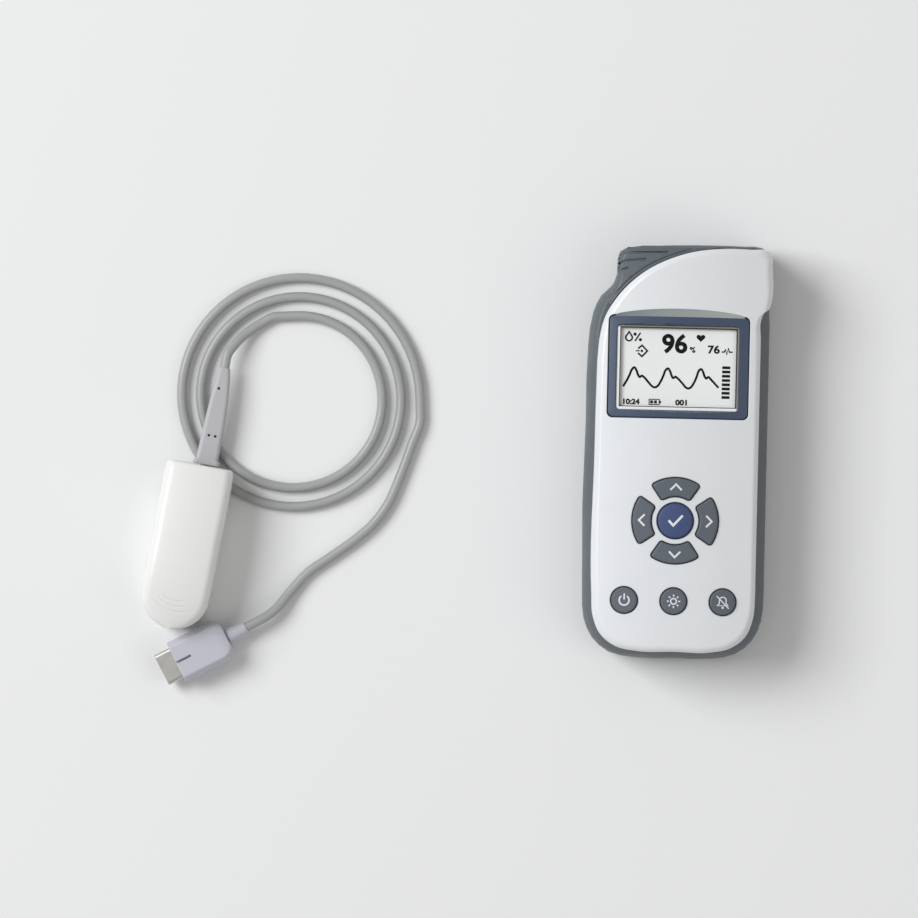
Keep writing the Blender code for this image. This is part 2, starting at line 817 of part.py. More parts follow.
def ring_key_outline(middle_angle):
    """A curved key round the centre key, with its four corners cut."""
    corners = key_rounding / ring_key_outer_radius
    points = []
    for k in range(ring_key_points):
        share = 2 * k / (ring_key_points - 1) - 1
        points.append((ring_key_outer_radius, middle_angle + share * (ring_key_half_angle - 2 * corners)))
    points.append((ring_key_outer_radius - key_rounding, middle_angle + ring_key_half_angle))
    points.append((ring_key_inner_radius + key_rounding, middle_angle + ring_key_half_angle))
    for k in range(ring_key_points):
        share = 1 - 2 * k / (ring_key_points - 1)
        points.append((ring_key_inner_radius, middle_angle + share * (ring_key_half_angle - 3 * corners)))
    points.append((ring_key_inner_radius + key_rounding, middle_angle - ring_key_half_angle))
    points.append((ring_key_outer_radius - key_rounding, middle_angle - ring_key_half_angle))
    return [
        (keypad_center[0] + r * math.cos(a), keypad_center[1] + r * math.sin(a)) for r, a in points
    ]


def key_outlines():
    x, y = keypad_center
    outlines = {"key_ok": circle((x, y), center_key_radius)}
    for name, degrees in (("key_right", 0), ("key_up", 90), ("key_left", 180), ("key_down", 270)):
        outlines[name] = ring_key_outline(math.radians(degrees))
    for name, side in (("key_power", -1), ("key_light", 0), ("key_mute", 1)):
        place = (x + side * small_key_spacing, small_key_row)
        outlines[name] = circle(place, small_key_radius)
    return outlines


def middle_of(outline):
    xs = [point[0] for point in outline]
    ys = [point[1] for point in outline]
    return ((min(xs) + max(xs)) / 2, (min(ys) + max(ys)) / 2)


membrane_height = board_height + board_thickness + fit_gap
dome_top = membrane_height + membrane_thickness + dome_height


def build_keys():
    """Each key has a cap that stands proud of the crowned face, a flange under the wall and a stem."""
    for name, outline in key_outlines().items():
        x, y = middle_of(outline)
        under_wall = monitor_depth - casing_wall - fit_gap
        flange = grown(outline, key_flange)
        top = monitor_depth + key_proud
        rounded = grown(outline, -key_rounding * 0.4)
        crest = grown(outline, -key_rounding)
        rings = [
            at_height(flange, under_wall - key_flange_thickness),
            at_height(flange, under_wall),
            at_height(outline, under_wall),
            at_height(outline, top - key_rounding),
            at_height(rounded, top - key_rounding * 0.35),
            at_height(crest, top),
        ]
        builder = lofted(rings)
        caps = [face for face in builder.faces if len(face.verts) > 4]
        bmesh.ops.poke(builder, faces=caps)
        for point in builder.verts:
            point.co.z -= arc_drop(point.co.x)
        material = key_blue if name == "key_ok" else key_grey
        key = add_built(name, builder, material)
        stem_low = dome_top + key_travel + fit_gap
        stem_high = crown_height(x) - casing_wall
        join(key, cylinder("stem_" + name, (x, y, 0), key_stem_radius, stem_low, stem_high, points=16))
        set_origin(key, (x, y, crown_height(x)))
        shade(key)


def set_origin(item, place):
    """Moves an object's origin to a place, leaving its shape where it is."""
    item.data.transform(Matrix.Translation(-Vector(place)))
    item.location = place


# Rear casing
def door_stations():
    """The door's stepped profile, half of it, from the middle of its outer face round its edge."""
    return [
        (door_half_width, -overrun), (door_half_width, door_lip + fit_gap / 2),
        (door_half_width + door_tongue, door_lip + fit_gap / 2),
        (door_half_width + door_tongue, door_thickness),
    ]


def profile_along_y(name, profile, low, high):
    """A closed profile in X and Z, extruded along Y as a cutter."""
    rings = [[(x, y, z) for x, z in profile] for y in (low, high)]
    return add_built(name, lofted(rings))


def mirrored_profile(half):
    return half + [(-x, z) for x, z in reversed(half)]


def build_rear_shell():
    shell = add_built("rear_shell", lofted(flank_rings()), shell_grey)
    cut(shell, add_built("rear_hollow", lofted(flank_inner_rings())))

    first, last = (place * outline_steps for place in neck_rim_points)
    neck_outline = inset(rim_outline[first : last + 1], neck_step) + sized(neck_inner_shares)
    neck = lofted([
        at_height(neck_outline, neck_base_height),
        at_height(neck_outline, neck_top_height - neck_rounding),
        at_height(inset(neck_outline, neck_rounding * 0.3), neck_top_height - neck_rounding * 0.35),
        at_height(inset(neck_outline, neck_rounding), neck_top_height),
    ])
    block = add_built("neck_block", neck)
    cut(block, prism(
        "front_clearance", inset(front_outline, -fit_gap), rim_height - neck_shelf,
        monitor_depth + overrun,
    ))
    join(shell, block)

    bay = boxes("bay_walls", [(
        (-bay_half_width - bay_wall, bay_bottom - bay_wall, casing_wall / 2),
        (bay_half_width + bay_wall, bay_top + bay_wall, bay_roof + bay_wall),
    )])
    join(shell, bay)
    bosses = bmesh.new()
    for x, y in screw_places:
        add_cylinder(bosses, (x, y, 0), boss_radius, casing_wall / 2, rim_height - neck_shelf / 2)
    join(shell, add_built("rear_bosses", bosses))
    seat = cylinder(
        "speaker_seat", (*speaker_center, 0), speaker_radius + fit_gap + speaker_seat_wall,
        casing_wall / 2, casing_wall + speaker_height * 0.6,
    )
    cut(seat, cylinder(
        "speaker_hollow", (*speaker_center, 0), speaker_radius + fit_gap, 0, parting_height
    ))
    join(shell, seat)
    ledge = boxes("door_ledge", [(
        (-bay_half_width - bay_wall / 2, -half_length, casing_wall / 2),
        (
            bay_half_width + bay_wall / 2, bay_bottom - bay_wall / 2,
            door_thickness + fit_gap + door_ledge_thickness,
        ),
    )])
    form = lofted([at_height(inset(outline, casing_wall / 2), z) for outline, z in flank_outlines()])
    cut(ledge, add_built("ledge_form", form), "INTERSECT")
    join(shell, ledge)

    cells = boxes("bay_hollow", [(
        (-bay_half_width, bay_bottom, -overrun), (bay_half_width, bay_top, bay_roof),
    )])
    cut(shell, cells)
    groove = [(x + fit_gap, z) for x, z in door_stations()]
    groove[-1] = (groove[-1][0], door_thickness + fit_gap)
    groove[1] = (groove[1][0], door_lip)
    groove[2] = (groove[2][0], door_lip)
    track = profile_along_y(
        "door_track", mirrored_profile(groove), -half_length - overrun, bay_top + fit_gap
    )
    cut(shell, track)
    cut(shell, box(
        "door_end_space", (-2 * half_width, -2 * half_length, -overrun),
        (2 * half_width, door_shoulder, door_thickness + fit_gap),
    ))

    slots = []
    for k, share in enumerate(speaker_slot_shares):
        y = speaker_center[1] + (k - len(speaker_slot_shares) // 2) * speaker_slot_pitch
        reach = speaker_radius * 0.8 * share
        slots.append((
            (speaker_center[0] - reach, y - speaker_slot_width / 2, -overrun),
            (speaker_center[0] + reach, y + speaker_slot_width / 2, casing_wall + fit_gap),
        ))
    cut(shell, boxes("speaker_slots", slots))

    holes = bmesh.new()
    for x, y in screw_places:
        add_cylinder(holes, (x, y, 0), screw_shank_radius + fit_gap, -overrun, parting_height, points=12)
    cut(shell, add_built("rear_screw_holes", holes))
    recesses = bmesh.new()
    for x, y in screw_places:
        add_cylinder(
            recesses, (x, y, 0), screw_head_radius + fit_gap, -overrun,
            screw_recess + screw_head_height + fit_gap, points=16,
        )
    cut(shell, add_built("screw_recesses", recesses))

    cut(shell, box(
        "socket_well",
        (
            socket_center_x - socket_width / 2 - fit_gap,
            half_length - socket_recess - socket_length - fit_gap,
            socket_center_z - socket_height / 2 - fit_gap,
        ),
        (
            socket_center_x + socket_width / 2 + fit_gap, half_length + overrun,
            socket_center_z + socket_height / 2 + fit_gap,
        ),
    ))
    left = rim_outline_shares[21][0] * half_width
    tops = []
    sides = []
    for share in neck_groove_shares:
        y = share * half_length
        low, high = y - neck_groove_width / 2, y + neck_groove_width / 2
        tops.append((
            (left - overrun, low, neck_top_height - neck_groove_depth),
            (0, high, neck_top_height + overrun),
        ))
        sides.append((
            (left - overrun, low, parting_height * 0.75),
            (left + neck_groove_depth, high, neck_top_height + overrun),
        ))
    cut(shell, boxes("neck_top_grooves", tops))
    cut(shell, boxes("neck_side_grooves", sides))
    return shade(shell)


def build_battery_door():
    """The sliding cover: the casing's own outer form, cut to a stepped profile and a wide end."""
    profile = mirrored_profile(door_stations())
    rings = [[(x, y, z) for x, z in profile] for y in (door_shoulder - overrun, bay_top)]
    door = add_built("battery_door", lofted(rings), shell_grey)
    join(door, box(
        "door_end", (-2 * half_width, -2 * half_length, -overrun),
        (2 * half_width, door_shoulder - fit_gap, door_thickness),
    ))
    cut(door, add_built("casing_form", lofted(flank_rings())), "INTERSECT")
    middle = bay_top - door_grip_pitch * (door_grip_count + 1)
    grips = []
    for k in range(door_grip_count):
        y = middle - k * door_grip_pitch
        grips.append((
            (-door_grip_width / 2, y - door_grip_pitch / 4, -overrun),
            (door_grip_width / 2, y + door_grip_pitch / 4, door_grip_depth),
        ))
    cut(door, boxes("door_grips", grips))
    return shade(door)


def build_sensor_socket():
    face = half_length - socket_recess
    socket = box(
        "sensor_socket",
        (socket_center_x - socket_width / 2, face - socket_length, socket_center_z - socket_height / 2),
        (socket_center_x + socket_width / 2, face, socket_center_z + socket_height / 2),
        socket_black,
    )
    mouth = rounded_rectangle(
        (socket_center_x, socket_center_z), socket_mouth_width, socket_mouth_height,
        plug_shell_corner + fit_gap, points=3,
    )
    space = add_built("socket_mouth", lofted([
        [(x, y, z) for x, z in mouth] for y in (face - socket_mouth_depth, face + overrun)
    ]))
    cut(space, box(
        "socket_tongue",
        (
            socket_center_x - socket_tongue_width / 2, face - socket_length,
            socket_center_z - socket_tongue_height / 2,
        ),
        (
            socket_center_x + socket_tongue_width / 2, face - socket_tongue_recess,
            socket_center_z + socket_tongue_height / 2,
        ),
    ))
    cut(socket, space)
    holes = bmesh.new()
    for x, z in contact_places(socket_center_x, socket_center_z):
        add_cylinder(
            holes, (x, 0, z), contact_radius, face - socket_mouth_depth + contact_pitch,
            face + overrun, axis="Y", points=8,
        )
    cut(socket, add_built("socket_holes", holes))


def contact_places(center_x, center_z):
    """Two staggered rows of contacts."""
    places = []
    for row, columns in ((-1, contact_columns - 1), (1, contact_columns)):
        for k in range(columns):
            x = center_x + (k - (columns - 1) / 2) * contact_pitch
            places.append((x, center_z + row * contact_row_pitch / 2))
    return places


# Display stack
window_top = crown_height(display_center[0] + view_width / 2 + view_flare) - bezel_sink - fit_gap


def build_display():
    inner_wall = monitor_depth - casing_wall - crown_drop(half_width * 0.86) - fit_gap
    frame = rounded_rectangle(display_center, bezel_width, bezel_length, bezel_corner)
    # The flange reaches out at the right and below, where the casing has room for it
    shift = (bezel_flange + fit_gap) / 2
    grow = bezel_flange - fit_gap
    flange = rounded_rectangle(
        (display_center[0] + shift, display_center[1] - shift), bezel_width + grow,
        bezel_length + grow, bezel_corner,
    )
    window_bottom = window_top - window_thickness
    rings = [
        at_height(flange, inner_wall - bezel_flange_thickness),
        at_height(flange, inner_wall),
        at_height(frame, inner_wall),
        at_height(frame, monitor_depth - bezel_sink),
    ]
    builder = lofted(rings)
    crown(builder, above=inner_wall + weld_distance)
    bezel = add_built("display_bezel", builder, bezel_blue)
    view = rounded_rectangle(view_center, view_width, view_length, view_corner)
    wide = rounded_rectangle(
        view_center, view_width + 2 * view_flare, view_length + 2 * view_flare, view_corner + view_flare
    )
    flare = lofted([
        at_height(view, window_bottom - overrun), at_height(view, window_top),
        at_height(wide, monitor_depth), at_height(wide, monitor_depth + overrun),
    ])
    cut(bezel, add_built("view_opening", flare))
    window_outline = rounded_rectangle(
        view_center, view_width + 2 * window_margin, view_length + 2 * window_margin,
        view_corner + window_margin,
    )
    seat = grown(window_outline, fit_gap)
    seat_top = window_top - window_thickness * 0.35
    cut(bezel, prism("window_seat", seat, window_bottom - overrun, seat_top + fit_gap))
    shade(bezel)

    window = prism(
        "display_window", window_outline, window_bottom - window_thickness * 0.35, seat_top,
        clear_window,
    )
    window_low = window_bottom - window_thickness * 0.35
    lcd_top = window_low - fit_gap
    lcd = box(
        "lcd_panel",
        (view_center[0] - view_width / 2, view_center[1] - view_length / 2, lcd_top - lcd_thickness),
        (view_center[0] + view_width / 2, view_center[1] + view_length / 2, lcd_top),
        lcd_pale,
    )
    frame_low = board_height + board_thickness + fit_gap
    outer = rounded_rectangle(
        view_center, view_width + 2 * backlight_wall, view_length + 2 * backlight_wall,
        view_corner + backlight_wall,
    )
    backlight = prism(
        "backlight_frame", outer, frame_low, lcd_top - lcd_thickness / 2, frame_white
    )
    cut(backlight, box(
        "lcd_seat",
        (
            view_center[0] - view_width / 2 - fit_gap, view_center[1] - view_length / 2 - fit_gap,
            lcd_top - lcd_thickness - fit_gap,
        ),
        (
            view_center[0] + view_width / 2 + fit_gap, view_center[1] + view_length / 2 + fit_gap,
            monitor_depth,
        ),
    ))
    return window, lcd


def build_board():
    outline = sized(board_shares)
    levels = (board_height, board_height + board_thickness)
    board = add_built("main_board", lofted([at_height(outline, z) for z in levels]), board_green)
    holes = bmesh.new()
    for x, y in screw_places:
        add_cylinder(
            holes, (x, y, 0), front_boss_radius + fit_gap, board_height - overrun,
            board_height + overrun,
        )
    cut(board, add_built("board_holes", holes))


def build_membrane():
    x, y = keypad_center
    reach = ring_key_outer_radius + membrane_margin
    low = small_key_row - small_key_radius - membrane_margin / 3
    top = membrane_height + membrane_thickness
    outline = rounded_rectangle(
        (x, (y + reach + low) / 2), 2 * reach, y + reach - low, membrane_margin
    )
    membrane = prism("keypad_membrane", outline, membrane_height, top, silicone_grey)
    domes = bmesh.new()
    for key_outline in key_outlines().values():
        place = middle_of(key_outline)
        bmesh.ops.create_cone(
            domes, cap_ends=True, segments=16, radius1=dome_radius, radius2=dome_radius * 0.7,
            depth=dome_height + membrane_thickness / 2,
            matrix=Matrix.Translation(
                (*place, top - membrane_thickness / 2 + (dome_height + membrane_thickness / 2) / 2)
            ),
        )
    join(membrane, add_built("domes", domes))
    shade(membrane)


def build_speaker():
    x, y = speaker_center
    profile = [
        (0, casing_wall + fit_gap + speaker_height), (speaker_radius * 0.5, casing_wall + fit_gap + speaker_height),
        (speaker_radius * 0.55, casing_wall + fit_gap + speaker_height * 0.6),
        (speaker_radius, casing_wall + fit_gap + speaker_height * 0.5),
        (speaker_radius, casing_wall + fit_gap), (0, casing_wall + fit_gap),
    ]
    turned("speaker", profile, (x, y, 0), 24, socket_black)


def turned(name, profile, place, points, material, parent=None, axis="Z"):
    """A profile of (radius, height) turned about an axis, from its upper middle down its outer side."""
    builder = bmesh.new()
    verts = [builder.verts.new((r, 0, z)) for r, z in profile]
    for a, b in zip(verts, verts[1:]):
        builder.edges.new((a, b))
    item = add_object(name, mesh_of(name, builder), material, parent)
    modifier = item.modifiers.new("turn", "SCREW")
    modifier.steps = points
    modifier.render_steps = points
    modifier.use_merge_vertices = True
    modifier.merge_threshold = weld_distance * 20
    modifier.use_normal_calculate = False
    item.location = place
    if axis == "Y":
        item.rotation_euler.x = math.radians(-90)
    if axis == "-Y":
        item.rotation_euler.x = math.radians(90)
    return item


def build_screws():
    for k, (x, y) in enumerate(screw_places):
        head_low = screw_recess
        profile = [
            (0, head_low + screw_length), (screw_shank_radius * 0.5, head_low + screw_length),
            (screw_shank_radius, head_low + screw_length - screw_shank_radius),
            (screw_shank_radius, head_low + screw_head_height), (screw_head_radius, head_low + screw_head_height),
            (screw_head_radius, head_low + screw_head_height * 0.3), (screw_head_radius * 0.8, head_low),
            (screw_head_radius * 0.4, head_low), (screw_head_radius * 0.3, head_low + screw_head_height * 0.5),
            (0, head_low + screw_head_height * 0.5),
        ]
        turned(f"case_screw_{k + 1}", profile, (x, y, 0), 12, steel)


def cell_x(place):
    return (place - (cell_count - 1) / 2) * cell_pitch


def build_batteries():
    """Four cells side by side, turned head to tail, with a spring at each flat end."""
    for k in range(cell_count):
        x = cell_x(k)
        way = 1 if k % 2 == 0 else -1
        flat_end = bay_bottom if way > 0 else bay_top
        spring_start = flat_end + way * contact_space
        cell_start = spring_start + way * (spring_length + spring_wire + fit_gap)
        body = cell_length
        profile = [
            (0, body + cell_nub_length), (cell_nub_radius, body + cell_nub_length), (cell_nub_radius, body),
            (cell_radius * 0.9, body), (cell_radius, body - cell_radius * 0.1),
            (cell_radius, cell_radius * 0.1), (cell_radius * 0.9, 0), (0, 0),
        ]
        axis = "Y" if way > 0 else "-Y"
        cell = turned(f"battery_cell_{k + 1}", profile, (x, cell_start, cell_height), 20, cell_wrap, axis=axis)
        shade(cell)
        points = []
        for step in range(spring_turns * spring_points + 1):
            share = step / (spring_turns * spring_points)
            angle = math.tau * step / spring_points
            radius = spring_wide_radius + (spring_narrow_radius - spring_wide_radius) * share
            points.append((
                x + radius * math.cos(angle),
                spring_start + way * (spring_wire / 2 + spring_length * share),
                cell_height + radius * math.sin(angle),
            ))
        tube(f"battery_spring_{k + 1}", points, spring_wire / 2, 0, nickel)

    def plate(name, first, last, y, way):
        low_y, high_y = sorted((y + way * fit_gap, y + way * (fit_gap + contact_thickness)))
        box(
            name,
            (cell_x(first) - cell_radius * 0.8, low_y, cell_height - cell_radius * 0.8),
            (cell_x(last) + cell_radius * 0.8, high_y, cell_height + cell_radius * 0.8),
            nickel,
        )

    plate("contact_bottom_left", 0, 1, bay_bottom, 1)
    plate("contact_bottom_right", 2, 3, bay_bottom, 1)
    plate("contact_top_left", 0, 0, bay_top, -1)
    plate("contact_top_middle", 1, 2, bay_top, -1)
    plate("contact_top_right", 3, 3, bay_top, -1)


# Finger clip
def clip_empty():
    empty = bpy.data.objects.new("clip_frame", None)
    parts.objects.link(empty)
    empty.location = (*clip_place, 0)
    empty.rotation_euler.z = clip_turn
    return empty


def jaw_section(width, face, edge, radius, crown_fall):
    """A jaw's closed arch at one station: its face lies above the edge or, lower jaw, below it."""
    side = 1 if face > edge else -1
    radius = min(radius, abs(face - edge) * 0.8, width * 0.5)
    half = [
        (width, edge), (width, face - side * (crown_fall + radius)),
        (width - radius * 0.13, face - side * (crown_fall + radius * 0.5)),
        (width - radius * 0.5, face - side * (crown_fall + radius * 0.13)),
        (width - radius, face - side * crown_fall),
        (width * 0.45, face - side * crown_fall * 0.25), (0, face),
    ]
    return half + [(-x, z) for x, z in reversed(half[:-1])]


def jaw_width(station):
    return station[1] * clip_width / 2


def wall_share(place):
    """How much wider than the wall the inner form must be drawn in where the jaw tapers."""
    before = clip_station_shares[max(place - 1, 0)]
    after = clip_station_shares[min(place + 1, len(clip_station_shares) - 1)]
    along = (before[0] - after[0]) * clip_length / 2
    return min(math.hypot(1, (jaw_width(before) - jaw_width(after)) / along), 2)


def jaw_ring(place, upper, inner, y=None):
    """One ring of a jaw's outer form or, for inner, of the form that hollows it."""
    station = clip_station_shares[place]
    along, width_share, top, upper_edge, lower_edge, lift = station
    width = jaw_width(station)
    radius = clip_edge_radius
    wall = 0
    if inner:
        wall = clip_wall
        width -= wall * wall_share(place)
        radius -= wall * 0.6
    if upper:
        edge = upper_edge * clip_height - (overrun if inner else 0)
        section = jaw_section(width, top * clip_height - wall, edge, radius, clip_crown)
    else:
        edge = lower_edge * clip_height + (overrun if inner else 0)
        slope_wall = wall * (1.3 if 0 < lift < 1 else 1)
        section = jaw_section(width, lift * clip_floor_lift + slope_wall, edge, radius, 0)
    if y is None:
        y = along * clip_length / 2
    return [(x, y, z) for x, z in section]


def jaw_forms(upper):
    """A jaw's outer form and the inner form that leaves its wall."""
    count = len(clip_station_shares)
    outer = [jaw_ring(place, upper, False) for place in range(count)]
    if upper:
        inner = [jaw_ring(0, True, True, clip_length / 2 + overrun)]
        inner += [jaw_ring(place, True, True) for place in range(count - 1)]
    else:
        inner = [jaw_ring(place, False, True) for place in range(2, count - 1)]
    return lofted(outer), lofted(inner)


def ear_cutters(name, x, low, high, frame):
    """The two ears that carry the hinge, as one pair of plates with round ends."""
    builder = bmesh.new()
    for side in (-1, 1):
        near, far = sorted((side * x, side * (x + ear_thickness)))
        add_box(builder, (near, hinge_y - ear_radius, low), (far, hinge_y + ear_radius, high))
    plates = add_built(name + "_plates", builder, None, frame)
    ends = bmesh.new()
    for side in (-1, 1):
        near, far = sorted((side * x, side * (x + ear_thickness)))
        add_cylinder(ends, (0, hinge_y, hinge_z), ear_radius, near, far, axis="X")
    return plates, add_built(name + "_ends", ends, None, frame)


def station_value_at(y, column):
    """A column of the clip's table at a place along it."""
    stations = [(s[0] * clip_length / 2, s[column]) for s in clip_station_shares]
    for (y1, first), (y2, second) in zip(stations, stations[1:]):
        if y2 <= y <= y1:
            return second + (first - second) * (y - y2) / (y1 - y2)
    return stations[0][1]


def top_at(y):
    return station_value_at(y, 2) * clip_height


def width_at(y):
    return station_value_at(y, 1) * clip_width / 2


lower_ear_x = width_at(hinge_y) - clip_wall - ear_side_gap - ear_thickness
upper_ear_x = lower_ear_x - ear_play - ear_thickness
pin_half_length = lower_ear_x + ear_thickness - pin_end_recess
torsion_half_width = upper_ear_x - torsion_side_gap
channel_roof = top_at(pad_front) - upper_pad_seat_drop - pad_roof_thickness


def build_jaw(name, upper, frame):
    outer, inner = jaw_forms(upper)
    jaw = add_built(name, outer, clip_white, frame)
    cut(jaw, add_built(name + "_hollow", inner, None, frame))
    if upper:
        plates, ends = ear_cutters(name, upper_ear_x, hinge_z, top_at(hinge_y) - clip_wall, frame)
    else:
        plates, ends = ear_cutters(name, lower_ear_x, clip_wall / 2, hinge_z, frame)
    join(jaw, plates)
    join(jaw, ends)
    bore = cylinder(
        name + "_bore", (0, hinge_y, hinge_z), pin_radius + pin_gap, -pin_half_length,
        pin_half_length, axis="X", points=pin_points, parent=frame,
    )
    cut(jaw, bore)
    return jaw


def upper_face_at(x, y):
    """The upper jaw's crowned outer face at a place on it."""
    width = width_at(y)
    near = width * 0.45
    far = width - clip_edge_radius
    share = max(0, (abs(x) - near) / (far - near))
    slope = 0.25 * abs(x) / near if abs(x) < near else 0.25 + 0.75 * share
    return top_at(y) - clip_crown * min(slope, 1)


def grip_groove(name, radius, frame):
    """One curved groove across the upper jaw's rear, as a cutter that follows an arc."""
    rings = []
    for k in range(grip_points):
        angle = grip_middle_angle + (2 * k / (grip_points - 1) - 1) * grip_half_angle
        ring = []
        for edge, depth in (
            (radius - grip_width / 2, -grip_depth), (radius + grip_width / 2, -grip_depth),
            (radius + grip_width / 2, overrun), (radius - grip_width / 2, overrun),
        ):
            x = grip_center_x + edge * math.cos(angle)
            y = grip_center_y + edge * math.sin(angle)
            ring.append((x, y, upper_face_at(x, y) + depth))
        rings.append(ring)
    return add_built(name, lofted(rings), None, frame)


def build_clip():
    frame = clip_empty()
    lower = build_jaw("clip_lower_shell", False, frame)
    cut(lower, finger_notch(frame))
    shade(lower)
    upper = build_jaw("clip_upper_shell", True, frame)
    for k, radius in enumerate(grip_radii):
        cut(upper, grip_groove(f"grip_groove_{k + 1}", radius, frame))
    set_origin(upper, (0, hinge_y, hinge_z))
    shade(upper)
    build_pads(frame)
    cylinder(
        "clip_pin", (0, hinge_y, hinge_z), pin_radius, -pin_half_length + fit_gap,
        pin_half_length - fit_gap, axis="X", points=pin_points, material=steel, parent=frame,
    )
    build_torsion_spring(frame)
    build_clip_boot(frame)


def pad_section(y, upper):
    """A pad's closed section: flat towards its shell, with the finger's channel on the other side."""
    front_share = max(0.0, (y - pad_front * 0.7) / (pad_front * 0.3))
    flare = channel_flare * front_share
    middle = (channel_floor + channel_roof) / 2
    if upper:
        edge = middle + pad_gap / 2
        seat = top_at(y) - upper_pad_seat_drop
        deep = channel_roof + flare * 0.5
    else:
        edge = middle - pad_gap / 2
        seat = lower_pad_seat
        deep = channel_floor - flare * 0.5
    width = channel_half_width + flare
    side = 1 if upper else -1
    points = [
        (pad_half_width - pad_chamfer, y, seat), (pad_half_width, y, seat - side * pad_chamfer),
        (pad_half_width, y, edge),
    ]
    for k in range(channel_points + 1):
        angle = math.pi * k / channel_points
        points.append((width * math.cos(angle), y, edge + (deep - edge) * math.sin(angle)))
    points += [
        (-pad_half_width, y, edge), (-pad_half_width, y, seat - side * pad_chamfer),
        (pad_chamfer - pad_half_width, y, seat),
    ]
    return points


def finger_notch(frame):
    """Opens the lower jaw's front wall to the channel in its pad."""
    rings = []
    for y in (pad_front - pad_chamfer, clip_length / 2 + overrun):
        section = pad_section(pad_front, False)[3:-3]
        ring = [(x, y, z) for x, _, z in section]
        top = clip_height / 2 + overrun
        rings.append([(ring[0][0], y, top), *ring, (ring[-1][0], y, top)])
    return add_built("finger_notch", lofted(rings), None, frame)


def build_pads(frame):
    places = [pad_front, pad_front * 0.85, pad_front * 0.7, pad_front * 0.4, pad_back]
    middle = (channel_floor + channel_roof) / 2
    for name, upper in (("clip_lower_pad", False), ("clip_upper_pad", True)):
        pad = add_built(name, lofted([pad_section(y, upper) for y in places]), pad_grey, frame)
        side = 1 if upper else -1
        depth = channel_roof if upper else channel_floor
        well_low, well_high = sorted((middle, depth + side * (lens_thickness + fit_gap)))
        well = cylinder(
            name + "_well", (0, lens_y, 0), lens_radius + fit_gap, well_low, well_high, points=16,
            parent=frame,
        )
        cut(pad, well)
        lens_low, lens_high = sorted((depth, depth + side * lens_thickness))
        lens_name = "emitter_window" if upper else "detector_window"
        lens = cylinder(
            lens_name, (0, lens_y, 0), lens_radius, lens_low, lens_high, points=16,
            material=lens_dark, parent=frame,
        )
        if upper:
            set_origin(pad, (0, hinge_y, hinge_z))
            set_origin(lens, (0, hinge_y, hinge_z))
        shade(pad)


def build_torsion_spring(frame):
    """A coil round the hinge pin whose two legs push the finger grips apart."""
    points = []
    steps = torsion_turns * torsion_points
    start = torsion_leg_angle - math.pi / 2
    sweep = math.tau * torsion_turns + math.pi - 2 * torsion_leg_angle
    for k in range(steps + 1):
        share = k / steps
        angle = start + sweep * share
        points.append((
            -torsion_half_width + 2 * torsion_half_width * share,
            hinge_y + torsion_radius * math.cos(angle), hinge_z + torsion_radius * math.sin(angle),
        ))
    ends = []
    for place, side in ((points[0], -1), (points[-1], 1)):
        way = Vector((0, -math.cos(torsion_leg_angle), side * math.sin(torsion_leg_angle)))
        ends.append(tuple(Vector(place) + way * torsion_leg))
    tube("clip_spring", [ends[0], *points, ends[1]], torsion_wire / 2, 1, steel, frame)


def boot_section(y, width, thickness):
    corner = thickness * boot_corner_share
    half = [
        (width, -thickness + corner), (width, thickness - corner), (width - corner, thickness),
    ]
    section = half + [(-x, z) for x, z in reversed(half)]
    section += [(-width + corner, -thickness), (width - corner, -thickness)]
    return [(boot_x + x, y, boot_axis_height + z) for x, z in section]


def build_clip_boot(frame):
    front = clip_length / 2 + fit_gap
    rings = []
    for along, width, thickness in boot_station_shares:
        rings.append(boot_section(
            front + along * boot_length, width * boot_half_width, thickness * boot_half_thickness
        ))
    boot = add_built("clip_boot", lofted(rings), hood_grey, frame)
    dimples = bmesh.new()
    top = boot_axis_height + boot_half_thickness * 0.98
    for x, y in boot_dimples:
        add_cylinder(
            dimples, (boot_x + x, front + y, 0), boot_dimple_radius, top - boot_dimple_depth,
            top + overrun, points=8,
        )
    cut(boot, add_built("boot_dimple_cutter", dimples, None, frame))
    shade(boot)


# Plug
def plug_empty():
    empty = bpy.data.objects.new("plug_frame", None)
    parts.objects.link(empty)
    empty.location = (*plug_place, 0)
    empty.rotation_euler.z = plug_turn
    return empty


def chamfered_section(y, width, depth, low):
    chamfer = hood_chamfer * width / hood_width
    half = [
        (width / 2 - chamfer, 0), (width / 2, chamfer), (width / 2, depth - chamfer),
        (width / 2 - chamfer, depth),
    ]
    section = half + [(-x, z) for x, z in reversed(half)]
    return [(x, y, low + z) for x, z in section]


